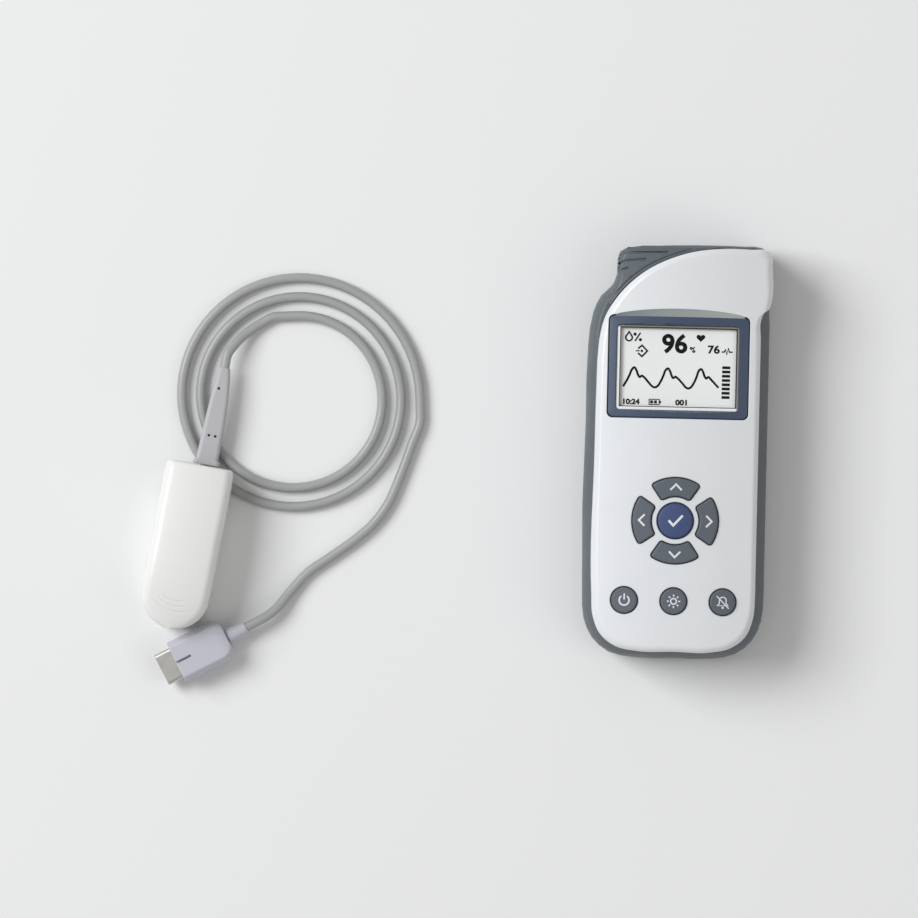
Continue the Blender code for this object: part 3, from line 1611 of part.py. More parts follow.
def build_plug():
    """The plug lies on its hood: its mating end is at the frame's origin and the cable leaves along +Y."""
    frame = plug_empty()
    rings = []
    for along, size in hood_back_shares:
        depth = hood_depth * (1 + size) / 2
        rings.append(chamfered_section(
            along * hood_length, hood_width * size, depth, (hood_depth - depth) / 2
        ))
    hood = add_built("plug_hood", lofted(rings), hood_grey, frame)
    slot = box(
        "hood_slot",
        (-hood_slot_width / 2, -overrun, hood_depth - hood_slot_depth),
        (hood_slot_width / 2, hood_slot_length, hood_depth + overrun), parent=frame,
    )
    cut(hood, slot)
    middle = hood_depth / 2
    outer = turned_rectangle(plug_shell_width, plug_shell_depth, plug_shell_corner, middle)
    seat = turned_rectangle(
        plug_shell_width + 2 * fit_gap, plug_shell_depth + 2 * fit_gap, plug_shell_corner + fit_gap, middle
    )
    inner = turned_rectangle(
        plug_shell_width - 2 * plug_shell_wall, plug_shell_depth - 2 * plug_shell_wall,
        plug_shell_corner - plug_shell_wall, middle,
    )
    block = turned_rectangle(
        plug_shell_width - 2 * plug_shell_wall - 2 * fit_gap,
        plug_shell_depth - 2 * plug_shell_wall - 2 * fit_gap,
        plug_shell_corner - plug_shell_wall, middle,
    )

    def along_plug(outline, low, high):
        return lofted([[(x, y, z) for x, z in outline] for y in (low, high)])

    cut(hood, add_built("shell_seat", along_plug(seat, -overrun, plug_shell_seat + fit_gap), None, frame))
    shade(hood)
    metal = add_built(
        "plug_shell", along_plug(outer, -plug_shell_reach, plug_shell_seat), nickel, frame
    )
    cut(metal, add_built(
        "plug_bore", along_plug(inner, -plug_shell_reach - overrun, plug_shell_seat + overrun), None, frame
    ))
    shade(metal)
    contacts = add_built(
        "plug_contacts",
        along_plug(block, -plug_shell_reach + plug_insert_recess, plug_shell_seat), socket_black, frame,
    )
    pins = bmesh.new()
    for x, z in contact_places(0, middle):
        add_cylinder(
            pins, (x, 0, z), contact_radius * 0.7, plug_pin_recess - plug_shell_reach,
            2 * plug_insert_recess - plug_shell_reach, axis="Y", points=8,
        )
    join(contacts, add_built("contact_pins", pins, None, frame))
    start = hood_length + fit_gap
    profile = [
        (0, start + plug_boot_length), (cable_radius * 1.25, start + plug_boot_length),
        (plug_boot_radius, start), (0, start),
    ]
    boot = turned("plug_boot", profile, (0, 0, middle), 16, hood_grey, frame, axis="Y")
    shade(boot)
    return frame


def turned_rectangle(width, depth, corner, middle):
    return rounded_rectangle((0, middle), width, depth, corner, points=3)


# Cable
def spiral_point(turns):
    radius = spiral_start_radius - spiral_pitch * turns
    angle = spiral_start_angle + math.tau * turns
    return Vector((
        spiral_center[0] + radius * math.cos(angle), spiral_center[1] + radius * math.sin(angle),
        cable_rest_height,
    ))


def spiral_way(turns):
    step = 0.5 / turn_points
    return (spiral_point(turns + step) - spiral_point(turns - step)).normalized()


def coil_points():
    steps = round(spiral_turns * turn_points)
    points = [spiral_point(spiral_turns * k / steps) for k in range(steps + 1)]
    start = points[0] - spiral_way(0) * cable_diameter
    end = points[-1] + spiral_way(spiral_turns) * cable_diameter
    return [start, *points, end]


def frame_point(frame, place):
    bpy.context.view_layer.update()
    return frame.matrix_world @ Vector(place)


def frame_way(frame, way):
    bpy.context.view_layer.update()
    return frame.matrix_world.to_3x3() @ Vector(way)


def path_length(points):
    return sum((b - a).length for a, b in zip(points, points[1:]))


def least_gap(points):
    """The least gap between stretches of the coil more than half a turn apart."""
    apart = turn_points // 2
    nearest = min(
        (points[j] - points[i]).length
        for i in range(len(points)) for j in range(i + apart, len(points))
    )
    return nearest - cable_diameter


def build_cable(plug_frame, clip_frame):
    coil = coil_points()
    coil_start_way = spiral_way(0)
    coil_end_way = spiral_way(spiral_turns)

    plug_way = frame_way(plug_frame, (0, 1, 0))
    tail_start = frame_point(
        plug_frame, (0, hood_length + plug_boot_length + 2 * fit_gap, hood_depth / 2)
    )
    tail_end = coil[0] - coil_start_way * fit_gap
    tail = [tail_start, tail_start + plug_way * cable_diameter]
    tail += [Vector(place) for place in tail_route]
    tail += [tail_end - coil_start_way * cable_diameter, tail_end]
    tail_points = smooth_open(tail, route_steps)

    clip_way = frame_way(clip_frame, (0, 1, 0))
    lead_start = coil[-1] + coil_end_way * fit_gap
    lead_end = frame_point(
        clip_frame, (boot_x, clip_length / 2 + boot_length + 2 * fit_gap, boot_axis_height)
    )
    lead = [lead_start, lead_start + coil_end_way * cable_diameter]
    lead += [Vector(place) for place in lead_route]
    lead += [lead_end + clip_way * cable_diameter, lead_end]
    lead_points = smooth_open(lead, route_steps)

    tube("cable_tail", tail_points, cable_radius, 2, cable_grey)
    tube("cable_coil", coil, cable_radius, 1, cable_grey)
    tube("cable_lead", lead_points, cable_radius, 2, cable_grey)
    total = path_length(tail_points) + path_length(coil) + path_length(lead_points)
    print(f"cable length {total:.4f} m")
    print(f"coil's least gap to itself {least_gap(coil) * 1000:.2f} mm")


build_front_shell()
build_rear_shell()
build_display()
build_board()
build_membrane()
build_keys()
build_sensor_socket()
build_speaker()
build_screws()
build_battery_door()
build_batteries()
build_clip()
plug_frame = build_plug()
build_cable(plug_frame, bpy.data.objects["clip_frame"])
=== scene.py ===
"""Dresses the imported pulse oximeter: finished surfaces, display graphics, key symbols, cable and light.

Everything is in metres in the part's own frame: the monitor's back lies at z = 0, +Y runs to its
top end, and the sensor lies unplugged at its left.
"""

import json
import math

import bmesh
import bpy
from mathutils import Matrix, Vector

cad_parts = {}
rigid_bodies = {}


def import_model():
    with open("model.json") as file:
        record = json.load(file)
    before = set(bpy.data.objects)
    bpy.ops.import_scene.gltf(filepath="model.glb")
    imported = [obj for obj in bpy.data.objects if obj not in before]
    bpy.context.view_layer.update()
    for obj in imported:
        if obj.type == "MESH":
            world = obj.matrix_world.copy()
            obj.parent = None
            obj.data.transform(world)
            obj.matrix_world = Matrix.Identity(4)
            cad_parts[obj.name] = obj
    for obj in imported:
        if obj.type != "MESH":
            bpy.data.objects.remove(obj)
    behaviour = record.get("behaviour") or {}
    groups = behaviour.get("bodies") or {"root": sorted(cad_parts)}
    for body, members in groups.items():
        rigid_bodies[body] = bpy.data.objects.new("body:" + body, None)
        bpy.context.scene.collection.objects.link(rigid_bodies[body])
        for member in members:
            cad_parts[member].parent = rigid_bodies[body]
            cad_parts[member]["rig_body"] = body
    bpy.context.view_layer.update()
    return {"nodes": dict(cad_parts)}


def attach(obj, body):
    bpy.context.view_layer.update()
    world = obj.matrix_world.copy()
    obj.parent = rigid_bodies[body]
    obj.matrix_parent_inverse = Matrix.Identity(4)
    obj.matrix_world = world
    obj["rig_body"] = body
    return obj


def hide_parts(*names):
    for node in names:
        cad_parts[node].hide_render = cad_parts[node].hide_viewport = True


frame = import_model()

# Sizes that this script shares with the part
fit_gap = 0.0003
monitor_depth = 0.0376
half_width = 0.035
half_length = 0.080
crown_radius = 0.120
parting_height = 0.021
keypad_center = (-0.0005, -0.0265)
small_key_row = -0.0575
small_key_spacing = 0.0190
clip_place = (-0.18975, -0.0410)
clip_turn = math.radians(-9.45)
clip_length = 0.0645
boot_x = 0.0018
boot_length = 0.0385
boot_axis_height = 0.0070
boot_half_width = 0.0052
boot_half_thickness = 0.0021
plug_place = (-0.19235, -0.08629)
plug_turn = math.radians(28.3 - 90)
hood_length = 0.0220
hood_depth = 0.0120
plug_boot_length = 0.0080


def link(item):
    bpy.context.scene.collection.objects.link(item)
    return item


# Camera
camera_data = bpy.data.cameras.new("camera")
camera_data.lens = 300
camera_data.sensor_width = 36
camera = link(bpy.data.objects.new("camera", camera_data))
camera.location = (-0.0843, -0.0046, 2.9835)
camera.rotation_euler = (0, 0, math.radians(1.3))
bpy.context.scene.camera = camera


# Helpers for shapes
def new_mesh(name, builder):
    """Turns a bmesh into a mesh and frees it."""
    mesh = bpy.data.meshes.new(name)
    builder.to_mesh(mesh)
    builder.free()
    return mesh


def new_piece(name, builder, finish=None, body="oximeter"):
    """Makes a mesh piece from a bmesh, gives it a finish and lets it ride on a body."""
    item = link(bpy.data.objects.new(name, new_mesh(name, builder)))
    if finish:
        item.data.materials.append(finishes[finish])
    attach(item, body)
    return item


def vectors(places):
    return [Vector(place) for place in places]


def at_height(outline, z):
    return [(x, y, z) for x, y in outline]


def along_y(outline, y):
    return [(x, y, z) for x, z in outline]


def arc(center, radius, start, end, steps=24):
    angles = [math.radians(start + (end - start) * k / steps) for k in range(steps + 1)]
    return [(center[0] + radius * math.cos(a), center[1] + radius * math.sin(a)) for a in angles]


def circle(center, radius, points=48):
    angles = [math.tau * k / points for k in range(points)]
    return [(center[0] + radius * math.cos(a), center[1] + radius * math.sin(a)) for a in angles]


def edge_steps(radius, steps, reach=90):
    """How far each step of a rounded edge lies inwards and down."""
    angles = [math.radians(reach) * k / steps for k in range(steps + 1)]
    return [(radius * (1 - math.cos(a)), radius * (1 - math.sin(a))) for a in angles]


def tangent_at(before, point, after):
    back = point - before
    ahead = after - point
    return (back.normalized() * ahead.length + ahead.normalized() * back.length).normalized()


def eased(start, end, start_slope, end_slope, t):
    """A point or a value on a smooth span between two others."""
    return (
        start * (2 * t**3 - 3 * t**2 + 1) + start_slope * (t**3 - 2 * t**2 + t)
        + end * (3 * t**2 - 2 * t**3) + end_slope * (t**3 - t**2)
    )


def span_points(start, end, start_way, end_way, steps):
    chord = (end - start).length
    return [eased(start, end, start_way * chord, end_way * chord, k / steps) for k in range(steps)]


def smooth_open(route, steps):
    """Points along a smooth curve through a route, whose first and last spans stay straight."""
    places = vectors(route)
    ways = [tangent_at(*places[i - 1 : i + 2]) for i in range(1, len(places) - 1)]
    ways[0] = (places[1] - places[0]).normalized()
    ways[-1] = (places[-1] - places[-2]).normalized()
    points = [places[0]]
    for i in range(1, len(places) - 2):
        points += span_points(places[i], places[i + 1], ways[i - 1], ways[i], steps)
    return points + places[-2:]


def lofted(rings, around=False):
    """A bmesh of closed rings of equal count, joined in order and capped, or joined round to a loop."""
    builder = bmesh.new()
    rows = [[builder.verts.new(point) for point in ring] for ring in rings]
    for low, high in zip(rows, rows[1:] + rows[:1] if around else rows[1:]):
        for i, point in enumerate(low):
            after = (i + 1) % len(low)
            builder.faces.new((point, low[after], high[after], high[i]))
    if not around:
        builder.faces.new(rows[0][::-1])
        builder.faces.new(rows[-1])
    bmesh.ops.recalc_face_normals(builder, faces=builder.faces)
    return builder


def prism(outline, low, high):
    return lofted([at_height(outline, low), at_height(outline, high)])


def tube_form(points, radius, sides):
    """A closed round tube along a route, whose rings don't twist."""
    rings = []
    normal = (points[1] - points[0]).normalized().orthogonal()
    for i, point in enumerate(points):
        way = (points[min(i + 1, len(points) - 1)] - points[max(i - 1, 0)]).normalized()
        normal = (normal - way * normal.dot(way)).normalized()
        side = way.cross(normal)
        rings.append([point + normal * x + side * y for x, y in circle((0, 0), radius, sides)])
    return lofted(rings)


def shaded_smooth(item, angle):
    item.data.shade_smooth()
    item.data.set_sharp_from_angle(angle=math.radians(angle))


def smoothed(item, angle):
    """Smooth faces up to an angle, with normals that follow the large faces."""
    shaded_smooth(item, angle)
    modifier = item.modifiers.new("normals", "WEIGHTED_NORMAL")
    modifier.keep_sharp = True
    modifier.weight = 80
    return item


def stand_in(item, node, angle, matrix=None):
    """Moves a piece from its own frame to its place, where it replaces a node, and smooths it."""
    if matrix:
        item.data.transform(matrix)
    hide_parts(node)
    return smoothed(item, angle)


def place_matrix(place, turn):
    return Matrix.Translation((*place, 0)) @ Matrix.Rotation(turn, 4, "Z")


clip_matrix = place_matrix(clip_place, clip_turn)
plug_matrix = place_matrix(plug_place, plug_turn)

# The cable's route, from the clip's boot through the loops to the plug's boot
cable_diameter = 0.0038
cable_rest_height = 0.00196
spiral_center = (-0.1483, 0.0181)
spiral_start_radius = 0.0483
spiral_pitch = 0.0074
spiral_turns = 2.25
spiral_start_angle = math.radians(1.3)
coil_steps = 144
tail_route = [(-0.1552, -0.0655, 0.0046), (-0.1490, -0.0580, 0.0026), *at_height([
    (-0.1425, -0.0505), (-0.1338, -0.0441), (-0.1248, -0.0375), (-0.1175, -0.0310),
    (-0.1119, -0.0233), (-0.1073, -0.0125), (-0.1030, 0.0000),
], cable_rest_height)]
lead_route = [(-0.1620, 0.0468, cable_rest_height), (-0.1675, 0.0430, 0.0031), (-0.1722, 0.0384, 0.0053)]


def spiral_point(turns):
    radius = spiral_start_radius - spiral_pitch * turns
    angle = spiral_start_angle + math.tau * turns
    x = spiral_center[0] + radius * math.cos(angle)
    y = spiral_center[1] + radius * math.sin(angle)
    return Vector((x, y, cable_rest_height))


def spiral_step(turns):
    """One diameter of the cable along the spiral's direction at a place."""
    return (spiral_point(turns + 0.01) - spiral_point(turns - 0.01)).normalized() * cable_diameter


def forward_step(matrix):
    """One diameter of the cable along the +Y of a piece."""
    return (matrix.to_3x3() @ Vector((0, 1, 0))).normalized() * cable_diameter


coil_points = [spiral_point(spiral_turns * k / coil_steps) for k in range(coil_steps + 1)]
start_step = spiral_step(0)
end_step = spiral_step(spiral_turns)
coil_start = coil_points[0] - start_step
coil_end = coil_points[-1] + end_step
cable_exit = clip_matrix @ Vector((boot_x, clip_length / 2 + boot_length + fit_gap, boot_axis_height))
cable_end = plug_matrix @ Vector((0, hood_length + plug_boot_length + fit_gap, hood_depth / 2))
tail = [
    cable_end, cable_end + forward_step(plug_matrix), *tail_route, coil_start - start_step, coil_start
]
lead = [
    coil_end, coil_end + end_step, *lead_route, cable_exit + forward_step(clip_matrix), cable_exit
]
cable_points = smooth_open(tail, 8)[:-1] + [coil_start] + coil_points + smooth_open(lead, 8)
cable_points.reverse()
cable = new_piece("sensor_cable", tube_form(cable_points, cable_diameter / 2, 24))
shaded_smooth(cable, 50)
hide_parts("cable_lead", "cable_coil", "cable_tail")


# Helpers for finishes
def linear(red, green, blue):
    """A colour of a picture, 0 to 255 a channel, as the linear values that shaders use."""
    values = []
    for share in (red / 255, green / 255, blue / 255):
        values.append(share / 12.92 if share <= 0.04045 else ((share + 0.055) / 1.055) ** 2.4)
    return (*values, 1.0)


def scaled_color(color, factor):
    return (*[min(1.0, channel * factor) for channel in color[:3]], 1.0)


def wired(tree, kind, output, inputs, **settings):
    """Adds a node, gives each input its value or its link, and returns one of the node's outputs."""
    item = tree.nodes.new("ShaderNode" + kind)
    for name, value in settings.items():
        setattr(item, name, value)
    for socket, value in inputs.items():
        if isinstance(value, bpy.types.NodeSocket):
            tree.links.new(value, item.inputs[socket])
        else:
            item.inputs[socket].default_value = value
    return item.outputs[output]


def noise(tree, coordinates, scale, detail, roughness=0.55, distortion=0.0):
    return wired(tree, "TexNoise", "Fac", {
        "Vector": coordinates, "Scale": scale, "Detail": detail, "Roughness": roughness,
        "Distortion": distortion,
    })


def ranged(tree, value, low, high, to_low=0.0, to_high=1.0):
    return wired(tree, "MapRange", "Result", {
        "Value": value, "From Min": low, "From Max": high, "To Min": to_low, "To Max": to_high,
    })


def mixed(tree, share, first, second):
    return wired(tree, "Mix", 2, {0: share, 6: first, 7: second}, data_type="RGBA")


millimetre = 0.001
mottle_scale = 38.0
smudge_scale = 120.0
dust_scale = 900.0
dust_color = (0.62, 0.60, 0.57, 1.0)
# The crescent's paint is painted lighter from its left to its right end: painted shade across its recess,
# darkest at the left
crescent_shade_reach = (-0.022, 0.024)
crescent_painted_light = (176, 180, 177)
# Values that are the same all over a surface
own_sockets = {
    "front_plastic": {"Coat Weight": 0.15, "Coat Roughness": 0.12},
    "clip_plastic": {"Coat Weight": 0.12, "Coat Roughness": 0.12},
    "lcd_ink": {"Specular IOR Level": 0.05},
    "border_dark": {"Specular IOR Level": 0.2},
    "pad_silicone": {"Subsurface Weight": 0.15, "Subsurface Scale": 0.002},
    "window_clear": {"Alpha": 0.03, "IOR": 1.49},
}
# Each finish: colour, roughness, metal, mottle, scuffs and dust, then in millimetres the size of its
# grain, the grain's depth and the rounding of its edges
finish_rows = {
    "front_plastic": ((230, 232, 234), 0.33, 0, 0.010, 0.05, 0.05, 0.45, 0.005, 0.2),
    "rear_plastic": ((90, 98, 103), 0.46, 0, 0.025, 0.05, 0.10, 0.35, 0.018, 0.4),
    "bezel_plastic": ((63, 78, 101), 0.40, 0, 0.02, 0.06, 0.05, 0.4, 0.010, 0.1),
    "crescent_paint": ((128, 137, 135), 0.42, 0, 0.03, 0.06, 0, 0.5, 0.006, 0),
    "key_rubber": ((92, 100, 108), 0.60, 0, 0.02, 0.06, 0.08, 0.3, 0.012, 0),
    "key_blue_rubber": ((62, 78, 122), 0.56, 0, 0.02, 0.06, 0.08, 0.3, 0.012, 0),
    "symbol_ink": ((232, 234, 236), 0.5, 0, 0.01, 0.06, 0, 0.3, 0.002, 0),
    "lcd_paper": ((252, 253, 251), 0.5, 0, 0.006, 0.02, 0, 0.25, 0.003, 0),
    "lcd_ink": ((4, 4, 5), 0.7, 0, 0.08, 0.06, 0, 0.3, 0.002, 0),
    # The border's white and tan rows are the inner bevel's painted lit side and its painted shade
    "border_white": ((250, 250, 247), 0.4, 0, 0.006, 0.06, 0, 0.3, 0.002, 0),
    "border_painted_shade": ((158, 150, 140), 0.45, 0, 0.03, 0.06, 0, 0.3, 0.002, 0),
    "border_dark": ((58, 54, 52), 0.5, 0, 0.03, 0.06, 0, 0.3, 0.002, 0),
    "socket_plastic": ((30, 31, 33), 0.45, 0, 0.06, 0.06, 0, 0.3, 0.010, 0.15),
    "screw_steel": ((150, 150, 152), 0.34, 1, 0.06, 0.06, 0, 0.2, 0.004, 0.1),
    "spring_steel": ((168, 168, 170), 0.30, 1, 0.05, 0.06, 0, 0.2, 0.003, 0),
    "nickel_plate": ((216, 213, 207), 0.42, 1, 0.04, 0.06, 0, 0.3, 0.003, 0.12),
    "cell_film": ((72, 84, 98), 0.32, 0, 0.05, 0.06, 0, 0.6, 0.006, 0),
    "clip_plastic": ((236, 236, 233), 0.34, 0, 0.008, 0.05, 0.05, 0.4, 0.005, 0.4),
    "pad_silicone": ((170, 173, 176), 0.68, 0, 0.03, 0.06, 0.10, 0.3, 0.012, 0.4),
    "lens_resin": ((70, 22, 24), 0.10, 0, 0.05, 0.03, 0, 0.5, 0.001, 0.2),
    "boot_rubber": ((186, 185, 188), 0.48, 0, 0.015, 0.06, 0.06, 0.3, 0.010, 0.4),
    "hood_plastic": ((196, 196, 206), 0.44, 0, 0.015, 0.06, 0.06, 0.4, 0.010, 0.4),
    "cable_jacket": ((166, 168, 166), 0.36, 0, 0.025, 0.08, 0.08, 0.5, 0.014, 0),
    "board_mask": ((34, 92, 60), 0.4, 0, 0.06, 0.06, 0, 0.4, 0.020, 0),
    "membrane_rubber": ((160, 162, 164), 0.66, 0, 0.03, 0.06, 0, 0.4, 0.020, 0.2),
    "frame_plastic": ((232, 232, 228), 0.5, 0, 0.02, 0.06, 0, 0.4, 0.020, 0.2),
    "speaker_paper": ((38, 38, 40), 0.85, 0, 0.10, 0.06, 0, 0.3, 0.060, 0),
    "window_clear": ((120, 126, 130), 0.06, 0, 0.01, 0.03, 0, 2.0, 0.0005, 0),
}


def surface(name, color, roughness, metal, mottle, scuffs, dust, grain, depth, edge):
    """A moulded, cast or drawn surface: mottled colour, fine grain, uneven gloss and settled dust."""
    color = linear(*color)
    grain *= millimetre
    material = bpy.data.materials.new(name)
    material.use_nodes = True
    tree = material.node_tree
    shader = tree.nodes["Principled BSDF"]
    for socket, value in {"Metallic": metal, **own_sockets.get(name, {})}.items():
        shader.inputs[socket].default_value = value
    coordinates = wired(tree, "TexCoord", "Object", {})
    broad = ranged(tree, noise(tree, coordinates, mottle_scale, detail=4.0), 0.3, 0.7)
    speckle = noise(tree, coordinates, 0.6 / grain, detail=2.0)
    speckle = ranged(tree, speckle, 0.25, 0.75, to_high=0.35)
    tint = mixed(tree, broad, scaled_color(color, 1 - mottle), scaled_color(color, 1 + mottle))
    tint = mixed(tree, speckle, tint, scaled_color(color, 1 - 1.5 * mottle))
    # Painted shade: the crescent's colour blends to a lighter tone towards its right end
    if name == "crescent_paint":
        across = wired(tree, "SeparateXYZ", "X", {"Vector": coordinates})
        tint = mixed(tree, ranged(tree, across, *crescent_shade_reach), tint, linear(*crescent_painted_light))
    if dust:
        settled = noise(tree, coordinates, dust_scale, detail=6.0, roughness=0.7)
        tint = mixed(tree, ranged(tree, settled, 0.62, 0.76, to_high=dust), tint, dust_color)
    smudge = noise(tree, coordinates, smudge_scale, detail=5.0, roughness=0.6, distortion=0.4)
    gloss = ranged(tree, smudge, 0.3, 0.7, roughness - scuffs, roughness + scuffs)
    relief = {
        "Strength": 1.0, "Distance": depth * millimetre,
        "Height": noise(tree, coordinates, 1 / grain, detail=3.0, roughness=0.6),
    }
    if edge:
        relief["Normal"] = wired(tree, "Bevel", "Normal", {"Radius": edge * millimetre}, samples=6)
    normal = wired(tree, "Bump", "Normal", relief)
    for socket, value in (("Base Color", tint), ("Roughness", gloss), ("Normal", normal)):
        tree.links.new(value, shader.inputs[socket])
    return material


finishes = {name: surface(name, *row) for name, row in finish_rows.items()}
cable.data.materials.append(finishes["cable_jacket"])


# Helpers for forms
def smooth_closed(outline, steps):
    places = vectors(outline)
    count = len(places)
    ways = [tangent_at(places[i - 1], places[i], places[(i + 1) % count]) for i in range(count)]
    points = []
    for i in range(count):
        after = (i + 1) % count
        points += span_points(places[i], places[after], ways[i], ways[after], steps)
    return points


def scaled(shares):
    return [(x * half_width, y * half_length) for x, y in shares]


def inset(outline, distance):
    x_share = 1 - distance / half_width
    y_share = 1 - distance / half_length
    return [(x * x_share, y * y_share) for x, y in outline]


def grown(outline, distance):
    places = vectors(outline)
    points = []
    for i, point in enumerate(places):
        back = (point - places[i - 1]).normalized()
        ahead = (places[(i + 1) % len(places)] - point).normalized()
        normal = Vector((back.y + ahead.y, -back.x - ahead.x)).normalized()
        share = max(normal.dot(Vector((ahead.y, -ahead.x))), 0.5)
        points.append(point + normal * distance / share)
    return points


def rounded_rectangle(center, width, length, corner, corner_points=6, side_points=0):
    """Counterclockwise, with extra points along each side where a face has to follow the crown."""
    outline = []
    for x_side, y_side, start in ((1, 1, 0), (-1, 1, 90), (-1, -1, 180), (1, -1, 270)):
        middle = (center[0] + x_side * (width / 2 - corner), center[1] + y_side * (length / 2 - corner))
        outline += arc(middle, corner, start, start + 90, corner_points - 1)
        along = Vector((-math.sin(math.radians(start + 90)), math.cos(math.radians(start + 90))))
        span = (width if start in (0, 180) else length) - 2 * corner
        last = Vector(outline[-1])
        outline += [last + along * span * k / (side_points + 1) for k in range(1, side_points + 1)]
    return outline


def mirrored(half, between=()):
    """A section from its right half, the places between the halves and the right half's mirror image."""
    return [*half, *between, *[(-x, z) for x, z in reversed(half)]]


def arc_drop(x):
    return crown_radius - math.sqrt(crown_radius**2 - x**2)


def crown_height(x):
    return monitor_depth - arc_drop(x)


def gridded(builder, step, above, x_reach=half_width, y_reach=half_length):
    """Cuts a form into a grid, then bends what lies above a height down to the crowned face."""
    for way, reach in ((Vector((1, 0, 0)), x_reach), (Vector((0, 1, 0)), y_reach)):
        count = math.ceil(reach * 1.1 / step)
        for k in range(-count, count + 1):
            bmesh.ops.bisect_plane(
                builder, geom=builder.verts[:] + builder.edges[:] + builder.faces[:],
                dist=0.0000001, plane_co=way * k * step, plane_no=way,
            )
    for point in builder.verts:
        if point.co.z > above:
            point.co.z -= arc_drop(point.co.x)
    return builder


# How far a cutter reaches beyond the face that it opens
overshoot = 0.001
cutter_top = monitor_depth + 0.004
cutter_flare = 0.0009
cutter_flare_rise = 0.0003


def opening_form(outline, fillet):
    """A cutter for an opening in the crowned face, whose upper edge comes out rounded."""
    rings = [at_height(outline, parting_height)]
    for out, deep in edge_steps(fillet, 5, 72):
        rings.append([(x, y, crown_height(x) - deep) for x, y in grown(outline, out)])
    wide = grown(outline, out + cutter_flare)
    rings.append([(x, y, crown_height(x) - deep + cutter_flare_rise) for x, y in wide])
    rings.append(at_height(wide, cutter_top))
    return lofted(rings)


def evaluated(item):
    """A new mesh of what an object looks like with its modifiers."""
    bpy.context.view_layer.update()
    graph = bpy.context.evaluated_depsgraph_get()
    return bpy.data.meshes.new_from_object(item.evaluated_get(graph))


def cut_with(item, builder, operation="DIFFERENCE"):
    """Applies one Boolean step to a piece at once."""
    bmesh.ops.recalc_face_normals(builder, faces=builder.faces)
    mesh = new_mesh("cutter", builder)
    cutter = link(bpy.data.objects.new("cutter", mesh))
    modifier = item.modifiers.new("cut", "BOOLEAN")
    modifier.operation = operation
    modifier.object = cutter
    result = evaluated(item)
    item.modifiers.remove(modifier)
    old = item.data
    item.data = result
    result.name = old.name
    bpy.data.meshes.remove(old)
    bpy.data.objects.remove(cutter, do_unlink=True)
    bpy.data.meshes.remove(mesh)


weld_distance = 0.000002
flat_angle = math.radians(0.3)


def welded(name):
    """A part's node as a bmesh of whole faces that share their corners."""
    builder = bmesh.new()
    builder.from_mesh(frame["nodes"][name].data)
    bmesh.ops.remove_doubles(builder, verts=builder.verts, dist=weld_distance)
    bmesh.ops.dissolve_limit(
        builder, angle_limit=flat_angle, verts=builder.verts, edges=builder.edges
    )
    return builder


def dressed(name, finish, angle=30):
    """A welded copy of a part's node with smooth faces and its finish."""
    item = new_piece(name + "_skin", welded(name), finish, frame["nodes"][name]["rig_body"])
    return stand_in(item, name, angle)


def painted(name, finish):
    """A part's node that keeps its shape and gets a finish."""
    for slot in frame["nodes"][name].material_slots:
        slot.material = finishes[finish]


# Front casing, with a finer crown and rounded openings
front_outline = smooth_closed(scaled([
    (0.0, -0.963), (0.400, -0.963), (0.629, -0.940), (0.789, -0.885), (0.869, -0.800),
    (0.889, -0.688), (0.889, -0.588), (0.889, 0.550), (0.889, 0.644), (0.920, 0.678),
    (0.977, 0.700), (1.003, 0.738), (1.003, 0.900), (0.994, 0.953), (0.943, 0.978),
    (0.771, 0.983), (0.477, 0.984), (0.111, 0.964), (-0.160, 0.925), (-0.397, 0.870),
    (-0.577, 0.805), (-0.720, 0.731), (-0.826, 0.650), (-0.877, 0.569), (-0.900, 0.473),
    (-0.909, 0.311), (-0.914, 0.0), (-0.914, -0.688), (-0.894, -0.800), (-0.811, -0.885),
    (-0.651, -0.940), (-0.400, -0.963),
]), 8)
front_height = parting_height + fit_gap / 2
rim_rounding = 0.0026
casing_wall = 0.0020
lip_rounding = 0.00025
casing_grid = 0.0025
hollow_grid = 0.005
hollow_low = front_height - 0.004
frame_opening_rounding = 0.0003
key_opening_rounding = 0.00045
display_center = (-0.0005, 0.0327)
bezel_width = 0.0540
bezel_length = 0.0392
bezel_corner = 0.0022
bezel_sink = 0.0005
bezel_rounding = 0.0004
bezel_low = 0.0312
view_center = (-0.00085, 0.0323)
view_width = 0.0469
view_length = 0.0324
view_corner = 0.0012
view_flare = 0.0011
view_edge = ((0.0004, 0), (0.00010, 0.00004), (0.0, 0.00018))
seat_ledge = 0.0015
window_top = 0.034365
window_seat_top = 0.034015
screen_height = 0.0327
key_gap = 0.00035
key_proud = 0.0010
key_rounding = 0.0007
key_root = 0.0045
key_grid = 0.0011
keypad_reach = (0.034, 0.066)
ok_dome = 0.0004
center_key_radius = 0.0068
ring_key_radii = (0.0165, 0.0094)
ring_key_corner = 0.0009
ring_key_reach = math.radians(34)
small_key_radius = 0.0050


def ring_key_outline(degrees):
    """A curved key round the centre key, with rounded corners."""
    corner = ring_key_corner
    reaches = [ring_key_reach - corner / radius for radius in ring_key_radii]
    polar = []
    # The outer arc with the corners after it, then the inner arc with its own
    for edge, side in ((0, 1), (1, -1)):
        polar += [(ring_key_radii[edge], side * reaches[edge] * (k / 7 - 1)) for k in range(edge, 15)]
        corners = ((edge, 180 * edge, 1, 5), (1 - edge, 180 * edge + 90, 0, 5 - edge))
        for at, start, first, last in corners:
            radius = ring_key_radii[at]
            middle = radius + corner if at else radius - corner
            for k in range(first, last):
                a = math.radians(start + 90 * k / 4)
                along = side * reaches[at] + corner / radius * math.sin(a)
                polar.append((middle + corner * math.cos(a), along))
    turn = math.radians(degrees)
    x, y = keypad_center
    return [(x + r * math.cos(turn + a), y + r * math.sin(turn + a)) for r, a in polar]


